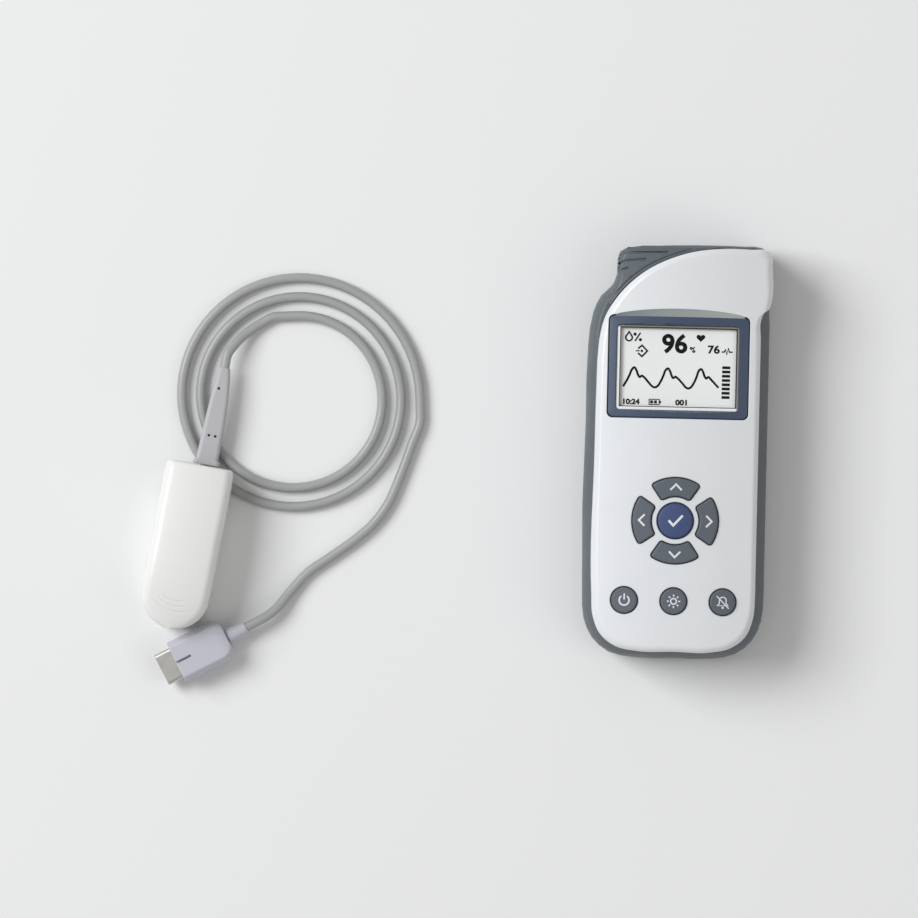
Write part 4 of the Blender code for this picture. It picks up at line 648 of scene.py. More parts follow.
ring_keys = {"key_right": 0, "key_up": 90, "key_left": 180, "key_down": 270}
small_key_places = {
    name: (keypad_center[0] + side * small_key_spacing, small_key_row)
    for name, side in (("key_power", -1), ("key_light", 0), ("key_mute", 1))
}
key_outlines = {
    "key_ok": circle(keypad_center, center_key_radius),
    **{name: ring_key_outline(degrees) for name, degrees in ring_keys.items()},
    **{name: circle(place, small_key_radius) for name, place in small_key_places.items()},
}


def build_front():
    rings = []
    for inward, up in ((1, 0), (0.3, 0.3), (0, 1)):
        outline = inset(front_outline, lip_rounding * inward)
        rings.append(at_height(outline, front_height + lip_rounding * up))
    rings.append(at_height(front_outline, front_height + rim_rounding * 0.8))
    for inward, down in edge_steps(rim_rounding, 8):
        rings.append(at_height(inset(front_outline, inward), monitor_depth - down))
    above = parting_height + rim_rounding
    item = new_piece("front_casing", gridded(lofted(rings), casing_grid, above), "front_plastic")
    inside = prism(inset(front_outline, casing_wall), hollow_low, monitor_depth - casing_wall)
    cut_with(item, gridded(inside, hollow_grid, above))
    opening = rounded_rectangle(
        display_center, bezel_width + 2 * fit_gap, bezel_length + 2 * fit_gap, bezel_corner, 6, 20
    )
    cut_with(item, opening_form(opening, frame_opening_rounding))
    cut_with(item, lofted([
        column + [(x, y, cutter_top) for x, y, z in reversed(column)] for column in crescent_columns(0.0)
    ]))
    for outline in key_outlines.values():
        cut_with(item, opening_form(grown(outline, key_gap), key_opening_rounding))
    stand_in(item, "front_shell", 32)


# Shallow crescent above the display, as shares of the display frame's width
crescent_reach_shares = (0.045, 0.965)
crescent_rise = 0.0029
crescent_depth = 0.0006
crescent_tuck = 0.0004
crescent_points = 40
crescent_rows = 6
crescent_lifts = (0.00001, 0.00004)
bezel_left = display_center[0] - bezel_width / 2
bezel_top = display_center[1] + bezel_length / 2


def crescent_columns(lift):
    """Columns of points from the crescent's lower edge up to its arc, where it meets the crown."""
    low_share, high_share = crescent_reach_shares
    low = bezel_top - crescent_tuck
    columns = []
    for k in range(crescent_points + 1):
        share = k / crescent_points
        x = bezel_left + bezel_width * (low_share + (high_share - low_share) * share)
        high = bezel_top + crescent_rise * math.sin(math.pi * (0.01 + 0.98 * share)) ** 0.6
        column = []
        for row in range(crescent_rows + 1):
            up = row / crescent_rows
            deep = crescent_depth * (1 - up) ** 0.8
            column.append((x, low + (high - low) * up, crown_height(x) - deep + lift))
        columns.append(column)
    return columns


def build_crescent():
    """The painted surface in the crescent recess, a thin skin that lies on its floor."""
    skin = zip(*[crescent_columns(lift) for lift in crescent_lifts])
    item = new_piece("crescent_trim", lofted([low + high[::-1] for low, high in skin]), "crescent_paint")
    smoothed(item, 40)


# Display frame
def build_bezel():
    def frame_ring(drawn_in, deep):
        outline = rounded_rectangle(
            display_center, bezel_width - 2 * drawn_in, bezel_length - 2 * drawn_in,
            bezel_corner - drawn_in, 6, 14,
        )
        return [(x, y, crown_height(x) - bezel_sink - deep) for x, y in outline]

    view = rounded_rectangle(view_center, view_width, view_length, view_corner, 6, 14)
    ways = [(far - near) / millimetre for near, far in zip(vectors(view), grown(view, millimetre))]

    def view_ring(extra, deep):
        """A ring of the flared walls round the view, which grow wider the higher the crown is."""
        ring = []
        for place, way in zip(vectors(view), ways):
            top = crown_height(place.x) - bezel_sink
            flare = view_flare * (top - window_top) / (monitor_depth - window_top)
            ring.append((*(place + way * (flare + extra)), top - deep))
        return ring

    seat = grown(view, seat_ledge)
    rings = [at_height([point[:2] for point in frame_ring(0, 0)], bezel_low)]
    rings += [frame_ring(inward, down) for inward, down in edge_steps(bezel_rounding, 4)]
    rings += [view_ring(extra, deep) for extra, deep in view_edge]
    for outline, height in (
        (view, window_top), (view, window_seat_top + fit_gap), (seat, window_seat_top + fit_gap),
        (seat, bezel_low),
    ):
        rings.append(at_height(outline, height))
    item = new_piece("display_frame", lofted(rings, around=True), "bezel_plastic")
    stand_in(item, "display_bezel", 35)


# Keys
def dome_rise(x, y):
    away = math.hypot(x - keypad_center[0], y - keypad_center[1]) / center_key_radius
    return ok_dome * max(0.0, 1 - away**2)


def build_key(name, outline):
    """A cap with a rounded upper edge that follows the crown, slightly domed in the centre key."""
    top = monitor_depth + key_proud
    rings = [at_height(outline, monitor_depth - key_root)]
    for inward, down in edge_steps(key_rounding, 6):
        rings.append(at_height(grown(outline, -inward), top - down))
    builder = gridded(lofted(rings), key_grid, parting_height, *keypad_reach)
    if name == "key_ok":
        for point in builder.verts:
            if point.co.z > crown_height(point.co.x) + key_proud - key_rounding:
                point.co.z += dome_rise(point.co.x, point.co.y)
    finish = "key_blue_rubber" if name == "key_ok" else "key_rubber"
    stand_in(new_piece(name + "_cap", builder, finish, name), name, 40)


# Rear casing, whose crowned neck gets three fine grooves and another along the front casing's sweep
rim_height = parting_height - fit_gap / 2
neck_top = parting_height + 0.0060
neck_rounding = 0.0018
neck_cut_top = 0.0300
neck_root = rim_height - 0.0003
neck_grid = 0.004
# What is cleared above the rear casing's rim before the neck is set on: centre, sizes and corner
neck_clearing = ((-0.0065, 0.0690), 0.0460, 0.0320, 0.0010)
neck_groove_radius = 0.00046
sweep_groove_distance = 0.0013
sweep_groove_radius = 0.00034
sweep_groove_sink = 0.00008
sweep_right_end = 0.0060
sweep_low_end = 0.0540
neck_edge = scaled([
    (0.714, 0.996), (0.400, 0.998), (0.0, 0.997), (-0.257, 0.994), (-0.560, 0.984), (-0.655, 0.966),
    (-0.680, 0.931), (-0.685, 0.860), (-0.722, 0.800), (-0.800, 0.715), (-0.868, 0.625),
])
neck_inner = scaled([(-0.690, 0.690), (-0.230, 0.830), (0.343, 0.910)])
# Where each groove starts at the neck's side, and the places that it passes over its top
neck_grooves = [
    [(-0.0234, 0.0760), (-0.0219, 0.0765), (-0.0180, 0.0769), (-0.0052, 0.0772)],
    [(-0.0239, 0.0726), (-0.0224, 0.0732), (-0.0188, 0.0739), (-0.0137, 0.0743)],
    [(-0.0240, 0.0696), (-0.0227, 0.0700), (-0.0216, 0.0704), (-0.0204, 0.0708)],
]


def neck_height(x):
    return neck_top - arc_drop(x)


def neck_form(drawn_in):
    """The neck's crowned block, rounded along its upper edge."""
    outline = inset(smooth_open(neck_edge, 8)[1:-1], drawn_in) + neck_inner
    rings = [at_height(outline, neck_root)]
    for inward, down in edge_steps(neck_rounding, 7):
        rings.append(at_height(inset(outline, inward), neck_top - down))
    return gridded(lofted(rings), neck_grid, rim_height)


def build_rear():
    item = new_piece("rear_casing", welded("rear_shell"), "rear_plastic")
    cut_with(item, prism(rounded_rectangle(*neck_clearing), rim_height + 0.00005, neck_cut_top))
    neck = new_piece("neck", neck_form(fit_gap), "rear_plastic")
    cut_with(neck, prism(grown(front_outline, fit_gap), neck_root - 0.0001, neck_cut_top))
    builder = bmesh.new()
    builder.from_mesh(neck.data)
    cut_with(item, builder, "UNION")
    bpy.data.objects.remove(neck, do_unlink=True)
    for places in neck_grooves:
        x, y = places[0]
        side = neck_height(x)
        down = [(x - 0.0004, y, rim_height - 0.0030), (x, y, rim_height), (x, y, side - 0.0011)]
        cut_with(item, tube_form(vectors(down), neck_groove_radius, 16))
        route = [(x - 0.0008, y - 0.0002, side - 0.0019), (x, y, side - 0.0010)]
        route += [(*place, neck_height(place[0]) - 0.0002) for place in places[1:]]
        cut_with(item, tube_form(smooth_open(route, 6), neck_groove_radius, 16))
    route = [
        Vector((x, y, neck_height(x) - sweep_groove_sink))
        for x, y in grown(front_outline, sweep_groove_distance)
        if y > sweep_low_end and x < sweep_right_end
    ]
    cut_with(item, tube_form(route, sweep_groove_radius, 12))
    stand_in(item, "rear_shell", 32)


# Flat marks, such as the screen's graphics and the symbols on the keys
def add_outline(builder, outline):
    """Adds one flat closed shape given in x and y."""
    builder.faces.new([builder.verts.new((x, y, 0)) for x, y in outline])


def box(west, south, east, north):
    return [(west, south), (east, south), (east, north), (west, north)]


def add_stroke(builder, route, width, closed):
    """Adds a stroke of even width along a route in x and y, with square ends."""
    places = vectors(route)
    count = len(places)
    left = []
    right = []
    for i, place in enumerate(places):
        before = places[i - 1] if i or closed else place
        after = places[(i + 1) % count] if i < count - 1 or closed else place
        back = (place - before).normalized()
        ahead = (after - place).normalized()
        way = (back + ahead).normalized()
        normal = Vector((-way.y, way.x))
        lean = max(abs(normal.dot(Vector((-ahead.y, ahead.x)) if ahead.length else normal)), 0.6)
        left.append(builder.verts.new((*(place + normal * width / 2 / lean), 0)))
        right.append(builder.verts.new((*(place - normal * width / 2 / lean), 0)))
    for i in range(count if closed else count - 1):
        after = (i + 1) % count
        builder.faces.new((right[i], right[after], left[after], left[i]))


# A print's corners and faces are listed along this way, so that each run gives the same mesh
listing_way = Vector((1.0, 0.31, 0.17))


def mark(name, builder, finish, body, height_at):
    """Makes flat shapes a thin raised print at the height that height_at gives for each place."""
    bmesh.ops.recalc_face_normals(builder, faces=builder.faces)
    flat = list(builder.faces)
    for face in flat:
        if face.normal.z < 0:
            face.normal_flip()
    made = bmesh.ops.extrude_face_region(builder, geom=flat)
    for item in made["geom"]:
        if isinstance(item, bmesh.types.BMVert):
            item.co.z += print_thickness
    bmesh.ops.delete(builder, geom=[f for f in flat if f.is_valid], context="FACES_ONLY")
    bmesh.ops.triangulate(builder, faces=[f for f in builder.faces if len(f.verts) > 4])
    for point in builder.verts:
        point.co.z += height_at(point.co.x, point.co.y)
    bmesh.ops.recalc_face_normals(builder, faces=builder.faces)
    builder.verts.sort(key=lambda point: point.co.dot(listing_way))
    builder.faces.sort(key=lambda face: face.calc_center_median().dot(listing_way))
    new_piece(name, builder, finish, body)


def add_text(builder, text, low, high, bold):
    """Adds digits or signs, fitted to the box between two corners."""
    curve = bpy.data.curves.new("text", "FONT")
    curve.body = text
    curve.resolution_u = 6
    curve.offset = bold
    guide = link(bpy.data.objects.new("text", curve))
    mesh = evaluated(guide)
    xs = [point.co.x for point in mesh.vertices]
    ys = [point.co.y for point in mesh.vertices]
    scale_x = (high[0] - low[0]) / (max(xs) - min(xs))
    scale_y = (high[1] - low[1]) / (max(ys) - min(ys))
    shift = Matrix.Translation((low[0] - min(xs) * scale_x, low[1] - min(ys) * scale_y, 0))
    mesh.transform(shift @ Matrix.Diagonal((scale_x, scale_y, 1, 1)))
    builder.from_mesh(mesh)
    bpy.data.objects.remove(guide, do_unlink=True)
    bpy.data.meshes.remove(mesh)
    bmesh.ops.remove_doubles(builder, verts=builder.verts, dist=weld_distance / 2)


# How thick prints are, and how far they lie over the screen, the window, the keys and the dome
print_thickness = 0.00004
screen_lift = 0.00002
window_lift = 0.00001
key_lift = 0.000005
dome_lift = 0.000012


def screen_level(x, y):
    return screen_height + screen_lift


def window_level(x, y):
    return window_seat_top + window_lift


def key_level(x, y):
    return crown_height(x) + key_proud + key_lift


def dome_level(x, y):
    return crown_height(x) + key_proud + dome_rise(x, y) + dome_lift


screen_texts = [
    ("96", (-0.00703, 0.03791), (0.00276, 0.04561), 0.032),
    ("76", (0.01068, 0.03815), (0.01531, 0.04146), 0.035),
    ("%", (0.00370, 0.03838), (0.00590, 0.04066), 0.040),
    ("10:24", (-0.02152, 0.01800), (-0.01517, 0.02022), 0.048),
    ("001", (-0.00142, 0.01800), (0.00308, 0.02022), 0.048),
]
# The pulse wave, in millimetres
wave = [
    (-21.68, 24.85), (-20.6, 26.7), (-19.29, 29.33), (-18.3, 31.6), (-17.53, 32.3), (-16.73, 31.3),
    (-15.9, 29.3), (-15.4, 28.65), (-14.95, 28.85), (-14.5, 29.16), (-14.0, 28.85), (-11.75, 26.46),
    (-10.4, 25.1), (-9.5, 24.74), (-8.6, 25.1), (-7.32, 26.9), (-6.2, 29.4), (-5.3, 31.6),
    (-4.57, 32.15), (-3.75, 31.2), (-2.9, 29.1), (-2.38, 28.5), (-2.0, 28.75), (-1.55, 29.01),
    (-1.05, 28.7), (1.26, 26.4), (2.6, 24.95), (3.4, 24.59), (4.3, 24.95), (5.6, 26.8), (6.7, 29.4),
    (7.5, 31.6), (8.21, 32.17), (9.0, 31.2), (9.85, 29.1), (10.34, 28.62), (10.75, 28.9),
    (11.15, 29.15), (11.72, 28.7), (15.13, 25.13),
]
# The wave, a drop, the percent sign's bar, a probe with its cable, a pulse and a battery
screen_strokes = [
    (smooth_open([(x * millimetre, y * millimetre) for x, y in wave], 5), 0.00084, False),
    ([(-0.01980, 0.04600), *arc((-0.01980, 0.04375), 0.00125, 28, -208, 22)], 0.00062, True),
    ([(-0.01750, 0.04240), (-0.01540, 0.04570)], 0.00056, False),
    ([
        (-0.01620, 0.03955), (-0.01470, 0.04085), (-0.01260, 0.03870), (-0.01470, 0.03655),
        (-0.01620, 0.03785),
    ], 0.00064, False),
    ([(-0.01710, 0.03870), (-0.01560, 0.03870)], 0.00044, False),
    ([
        (0.01605, 0.03895), (0.01705, 0.03895), (0.01750, 0.03990), (0.01805, 0.03800),
        (0.01860, 0.04040), (0.01905, 0.03895), (0.02025, 0.03895),
    ], 0.00052, False),
    (box(-0.01150, 0.01812, -0.00760, 0.02012), 0.00036, True),
]
screen_dots = [
    ((-0.01750, 0.04510), 0.00062), ((-0.01540, 0.04300), 0.00062), ((-0.01475, 0.03870), 0.00050),
]
battery_boxes = [
    (-0.00738, 0.01867, -0.00690, 0.01957), (-0.01108, 0.01854, -0.01000, 0.01970),
    (-0.00958, 0.01854, -0.00850, 0.01970),
]
heart_place = (0.00790, 0.04420)
heart_scale = (0.000105, 0.000100)
bar_place = (0.01642, 0.03292)
bar_step = (0.00001, 0.00164)
bar_width = 0.00310
bar_half_height = 0.00053
bar_count = 8
# The border on the window: its sides, counted from the lower one round, and how far its outer and its
# inner edge lie inside the view at the left, below, at the right and above. It is white at the left and
# below as the painted lit side of the bezel's inner bevel, and tan at the right and above as the bevel's
# painted shade; the dark line is wider there, partly as painted shadow
border_edge = (0.00105, 0.00105, 0.00050, 0.00050)
line_edge = (0.00137, 0.00137, 0.00100, 0.00100)
screen_frames = [
    ("screen_border", (3, 0), (0, 0, 0, 0), border_edge, "border_white"),
    # Painted shade: the tan of the border's sides at the right and above
    ("screen_painted_shade", (1, 2), (0, 0, 0, 0), border_edge, "border_painted_shade"),
    ("screen_line", (0, 1, 2, 3), border_edge, line_edge, "border_dark"),
]


def heart_outline():
    outline = []
    for k in range(36):
        t = math.tau * k / 36
        x = 16 * math.sin(t) ** 3
        y = 13 * math.cos(t) - 5 * math.cos(2 * t) - 2 * math.cos(3 * t) - math.cos(4 * t)
        outline.append((heart_place[0] - x * heart_scale[0], heart_place[1] + y * heart_scale[1]))
    return outline


def build_screen():
    """The graphics on the screen, and the border lines printed on the window, with the bevel's light and
    shade painted in.
    """
    ink = bmesh.new()
    for text in screen_texts:
        add_text(ink, *text)
    for stroke in screen_strokes:
        add_stroke(ink, *stroke)
    for place, radius in screen_dots:
        add_outline(ink, circle(place, radius, 16))
    for sides in battery_boxes:
        add_outline(ink, box(*sides))
    for k in range(bar_count):
        x = bar_place[0] - bar_step[0] * k
        y = bar_place[1] - bar_step[1] * k
        add_outline(ink, box(x, y - bar_half_height, x + bar_width, y + bar_half_height))
    add_outline(ink, heart_outline())
    mark("screen_graphics", ink, "lcd_ink", "oximeter", screen_level)
    for name, sides, outer, inner, finish in screen_frames:
        builder = bmesh.new()
        rows = []
        for left, low, right, high in (outer, inner):
            corners = box(
                view_center[0] - view_width / 2 + left, view_center[1] - view_length / 2 + low,
                view_center[0] + view_width / 2 - right, view_center[1] + view_length / 2 - high,
            )
            rows.append([builder.verts.new(corner) for corner in at_height(corners, 0)])
        for i in sides:
            after = (i + 1) % 4
            builder.faces.new((rows[0][i], rows[0][after], rows[1][after], rows[1][i]))
        for point in [p for p in builder.verts if not p.link_faces]:
            builder.verts.remove(point)
        mark(name, builder, finish, "oximeter", window_level)


def even_steps(route, count):
    """The route with each of its spans cut into even steps, so that it can follow a curved face."""
    fine = []
    for first, second in zip(route, route[1:]):
        fine += [first.lerp(second, k / count) for k in range(count)]
    return fine + [route[-1]]


# Generic symbols in millimetres from the middle of their key: each stroke's route, its width,
# whether it closes and how many steps each span takes to follow the key's top
arrow = ([(-1.1, 2.2), (1.1, 0.0), (-1.1, -2.2)], 0.7, False, 6)
bell = [(-2.1, -1.3), (2.1, -1.3), (1.3, -0.5), *arc((0, 0.7), 1.3, 0, 180, 12), (-1.3, -0.5)]
symbol_strokes = {
    **{name: [arrow] for name in ring_keys},
    "key_ok": [([(-2.6, 0.1), (-0.8, -1.8), (2.8, 2.1)], 0.9, False, 8)],
    "key_power": [
        (arc((0, 0), 1.9, 125, 415, 30), 0.55, False, 1), ([(0, 2.6), (0, 0.3)], 0.55, False, 1),
    ],
    "key_light": [(arc((0, 0), 1.1, 0, 345, 23), 0.5, True, 1)] + [
        (ray, 0.5, False, 1) for ray in zip(circle((0, 0), 1.8, 8), circle((0, 0), 2.6, 8))
    ],
    "key_mute": [(bell, 0.42, True, 1), ([(-2.4, 2.4), (2.4, -2.4)], 0.42, False, 1)],
}
clapper_drop = 0.0021
clapper_radius = 0.00045


def build_symbols():
    for name, strokes in symbol_strokes.items():
        middle = Vector(small_key_places.get(name, keypad_center))
        turn = Matrix.Rotation(math.radians(ring_keys.get(name, 0)), 2)
        outwards = Vector((sum(ring_key_radii) / 2 if name in ring_keys else 0, 0))
        ink = bmesh.new()
        for route, width, closed, steps in strokes:
            route = [middle + turn @ (place * millimetre + outwards) for place in vectors(route)]
            add_stroke(ink, even_steps(route, steps), width * millimetre, closed)
        if name == "key_mute":
            add_outline(ink, circle((middle.x, middle.y - clapper_drop), clapper_radius, 12))
        level, slot = (dome_level, "key_blue") if name == "key_ok" else (key_level, "key_grey")
        mark(name + "_symbol", ink, "symbol_ink", name, level)


# Finger clip, made in its own frame, whose +Y runs to the clip's front end
half_clip = clip_length / 2
clip_width = 0.0264
clip_height = 0.0260
clip_wall = 0.0016
clip_floor_lift = 0.0048
clip_edge_radius = 0.0034
clip_crown = 0.0014
# Along the half length: half width, top and edge of the upper jaw, edge of the lower jaw, each as
# a share of the half width or the height, and the lift of the lower jaw
clip_table = [
    (1.000, 0.90, 0.785, 0.520, 0.425, 1.0), (0.985, 0.955, 0.812, 0.510, 0.430, 1.0),
    (0.950, 0.985, 0.830, 0.505, 0.430, 1.0), (0.880, 1.000, 0.850, 0.500, 0.430, 1.0),
    (0.700, 1.010, 0.892, 0.500, 0.430, 1.0), (0.580, 1.012, 0.918, 0.500, 0.430, 0.85),
    (0.440, 1.012, 0.946, 0.500, 0.430, 0.10), (0.380, 1.010, 0.956, 0.500, 0.430, 0.0),
    (0.100, 1.000, 0.990, 0.500, 0.425, 0.0), (-0.150, 1.000, 1.000, 0.505, 0.405, 0.0),
    (-0.400, 0.998, 0.985, 0.560, 0.320, 0.0), (-0.600, 0.985, 0.950, 0.620, 0.270, 0.0),
    (-0.750, 0.915, 0.905, 0.660, 0.235, 0.0), (-0.870, 0.735, 0.855, 0.685, 0.215, 0.0),
    (-0.950, 0.490, 0.810, 0.700, 0.205, 0.0), (-1.000, 0.170, 0.775, 0.705, 0.200, 0.0),
]
tail_start = -0.600
tail_reach = 0.400
hinge_y = half_clip * -0.279
hinge_z = clip_height * 0.4923
ear_radius = 0.0031
ear_thickness = 0.0018
lower_ear_x = 0.0132 - clip_wall - 0.00035 - ear_thickness
upper_ear_x = lower_ear_x - 0.0006 - ear_thickness
pin_radius = 0.0013
pin_play = 0.00012
pin_chamfer = 0.00025
pin_half_length = lower_ear_x + ear_thickness - 0.0002
torsion_radius = 0.0027
torsion_wire_radius = 0.00045
torsion_half_width = upper_ear_x - 0.0022
torsion_turns = 6
torsion_leg = clip_height * 0.46
torsion_low_angle = math.radians(42)
torsion_high_angle = math.radians(14)
grip_center = (0.0009, half_clip * -0.389)
grip_radii = (0.0087, 0.0108, 0.0129)
grip_groove_radius = 0.00027
grip_groove_lift = 0.00004
grip_groove_runout = 0.00026


def table_value(table, place, column):
    """A smooth value between the rows of a table, whose places run downwards."""
    rows = [(row[0], row[column]) for row in table]
    place = min(max(place, rows[-1][0]), rows[0][0])
    slopes = [(b[1] - a[1]) / (b[0] - a[0]) for a, b in zip(rows, rows[1:])]
    k = next(i for i in range(len(rows) - 1) if rows[i + 1][0] <= place)

    def slope_at(i):
        if i in (0, len(rows) - 1):
            return slopes[min(i, len(slopes) - 1)]
        before, after = slopes[i - 1], slopes[i]
        return 0.0 if before * after <= 0 else 2 * before * after / (before + after)

    (high, first), (low, second) = rows[k], rows[k + 1]
    span = low - high
    return eased(first, second, slope_at(k) * span, slope_at(k + 1) * span, (place - high) / span)


def top_at(y):
    return table_value(clip_table, y / half_clip, 2) * clip_height


def jaw_half_width(share, wall):
    """Half the clip's width, whose tail is half an ellipse, drawn in by a wall."""
    width = table_value(clip_table, max(share, tail_start), 1) * clip_width / 2 - wall
    reach = min((tail_start - share) / (tail_reach - wall / half_clip), 1)
    return width * math.sqrt(1 - max(reach, 0) ** 2)


def corner_drop(x, width, radius):
    into = max(0.0, abs(x) - (width - radius))
    return radius - math.sqrt(max(radius**2 - into**2, 0.0))


def jaw_ring(share, y, upper, wall):
    """A closed arch at one place, of a jaw's outer form or of the form that hollows it."""
    width = jaw_half_width(share, wall)
    beyond = overshoot if wall else 0.0
    if upper:
        face = table_value(clip_table, share, 2) * clip_height - wall
        edge = table_value(clip_table, share, 3) * clip_height - beyond
    else:
        face = table_value(clip_table, share, 5) * clip_floor_lift + wall
        edge = table_value(clip_table, share, 4) * clip_height + beyond
    side = 1 if upper else -1
    radius = min(clip_edge_radius - wall * 0.6, abs(face - edge) * 0.8, width * 0.8)
    crown_fall = clip_crown if upper else 0.0
    xs = [width - radius + radius * math.cos(math.radians(90) * k / 8) for k in range(9)]
    xs += [(width - radius) * (1 - k / 8) for k in range(1, 9)]
    half = [(width, edge)]
    for x in xs:
        fall = crown_fall * (x / width) ** 2 + corner_drop(x, width, radius)
        half.append((x, face - side * fall))
    return along_y(mirrored(half[:-1], half[-1:]), y)


def jaw_shares(wall):
    """Places along a jaw's side, closer together at the front corner and round the tail."""
    shares = [0.993, 0.985, 0.975, 0.96, 0.94, 0.91]
    shares += [0.87 + (tail_start - 0.87) * k / 30 for k in range(31)]
    reach = tail_reach - wall / half_clip
    return shares + [tail_start - reach * math.sin(math.radians(87) * k / 16) for k in range(1, 17)]


def jaw_hollow(upper):
    rings = [jaw_ring(1.0, half_clip + overshoot, True, clip_wall)] if upper else []
    shares = [s for s in jaw_shares(clip_wall) if upper or s <= 0.95]
    return lofted(rings + [jaw_ring(s, s * half_clip, upper, clip_wall) for s in shares])


def ear_form(x, upper):
    """An ear with a round end, which reaches from the hinge into its jaw's wall."""
    into = top_at(hinge_y) - clip_wall * 0.9 if upper else clip_wall / 2
    start = 180 if upper else 0
    half = arc((hinge_y, hinge_z), ear_radius, start, start + 180)
    outline = [(half[0][0], into), *half, (half[-1][0], into)]
    return lofted([[(place, y, z) for y, z in outline] for place in (x, x + ear_thickness)])


def along_hinge(profile):
    """A round form along the hinge's line, from its places and radii."""
    axis = (hinge_y, hinge_z)
    return lofted([[(x, y, z) for y, z in circle(axis, radius, 36)] for x, radius in profile])


def grip_groove_form(radius):
    """A fine round groove along an arc, which runs out at its ends."""
    points = []
    for (x, y), k in zip(arc(grip_center, radius, 225, 293, 40), range(-20, 21)):
        width = jaw_half_width(y / half_clip, 0.0)
        z = top_at(y) - clip_crown * (x / width) ** 2 - corner_drop(x, width, clip_edge_radius)
        points.append(Vector((x, y, z + grip_groove_lift + grip_groove_runout * (k / 20) ** 6)))
    return tube_form(points, grip_groove_radius, 12)


pad_front = half_clip - clip_wall - 0.00065
pad_back = hinge_y + ear_radius + 0.0064
pad_half_width = clip_width / 2 - clip_wall - 0.0012
pad_corner = 0.0012
pad_rounding = 0.0004
pad_floor = clip_floor_lift + clip_wall + 0.0008
channel_floor = pad_floor + 0.0013
channel_roof = top_at(pad_front) - 0.0053
channel_middle = (channel_floor + channel_roof) / 2
pad_seat_depth = 0.0033
pad_wall = 0.0026
pad_split = 0.0004
mouth_start = pad_front * 0.7
mouth_flare = 0.0010
notch_wall = 0.0016
notch_back = pad_front - 0.0012
lens_y = pad_front * 0.417
lens_radius = 0.0030
lens_sink = 0.0016
lens_height = 0.0015
lens_chamfer = 0.0002
lens_dome = 0.0001
well_depth = 0.0019
well_reach = 0.003


def channel(width, edge, deep):
    """The finger's channel as half an ellipse across a pad."""
    return [(x * width, edge + (deep - edge) * z) for x, z in arc((0, 0), 1, 0, 180, 32)]


def pad_outline(y, upper):
    """A pad's section, flat towards its shell, with the finger's channel on its other side."""
    flare = mouth_flare * max(0.0, (y - mouth_start) / (pad_front - mouth_start)) ** 2
    side = 1 if upper else -1
    edge = channel_middle + side * pad_split
    seat = top_at(y) - pad_seat_depth if upper else pad_floor
    deep = (channel_roof if upper else channel_floor) + side * flare / 2
    half = [(pad_half_width - pad_corner, seat), (pad_half_width, seat - side * pad_corner)]
    half.append((pad_half_width, edge))
    points = mirrored(half, channel(pad_half_width - pad_wall + flare, edge, deep))
    return softened(points[::-1] if upper else points, 180, 5)


def softened(outline, count, passes):
    """The outline in even steps, its corners rounded by a few passes of smoothing."""
    places = vectors(outline)
    lengths = [(places[i] - places[i - 1]).length for i in range(len(places))]
    step = sum(lengths) / count
    points = []
    travelled = 0.0
    for i, place in enumerate(places):
        before = places[i - 1]
        while len(points) < count and len(points) * step <= travelled + lengths[i]:
            share = (len(points) * step - travelled) / lengths[i] if lengths[i] else 0.0
            points.append(before.lerp(place, share))
        travelled += lengths[i]
    for _ in range(passes):
        points = [(points[i - 1] + 2 * points[i] + points[(i + 1) % count]) / 4 for i in range(count)]
    return points


def build_pad(name, lens_name, upper, body):
    """A soft pad with rounded ends and a well for its lens, and the lens."""
    front = []
    back = []
    for inward, down in edge_steps(pad_rounding, 3):
        for ends, end, way in ((front, pad_front, -1), (back, pad_back, 1)):
            ends.append(along_y(grown(pad_outline(end, upper), -down), end + way * inward))
    steps = [pad_front + (pad_back - pad_front) * k / 24 for k in range(1, 24)]
    between = [along_y(pad_outline(y, upper), y) for y in steps]
    item = new_piece(name + "_cushion", lofted(front + between + back[::-1]), "pad_silicone", body)
    side = 1 if upper else -1
    depth = channel_roof if upper else channel_floor
    low, high = sorted((depth - side * well_reach, depth + side * well_depth))
    cut_with(item, prism(circle((0, lens_y), lens_radius + fit_gap), low, high))
    item.data.transform(clip_matrix)
    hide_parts(name)
    smoothed(item, 40)
    profile = [(lens_radius, 0.0), (lens_radius, lens_height - lens_chamfer)]
    profile.append((lens_radius - lens_chamfer, lens_height))
    for k in range(9):
        profile.append((lens_radius * (0.92 - 0.11 * k), lens_height + lens_dome * math.sqrt(k / 8)))
    lens = lofted([
        at_height(circle((0, lens_y), radius), depth + side * (lens_sink - height))
        for radius, height in profile
    ])
    stand_in(new_piece(lens_name + "_lens", lens, "lens_resin", body), lens_name, 40, clip_matrix)


def notch_form():
    """Opens the lower jaw's front wall to the channel in its pad."""
    width = pad_half_width - notch_wall
    top = [(width, clip_height / 2 + overshoot)]
    outline = mirrored(top, channel(width, channel_middle - pad_split, channel_floor - mouth_flare / 2))
    return lofted([along_y(outline, y) for y in (notch_back, half_clip + overshoot)])


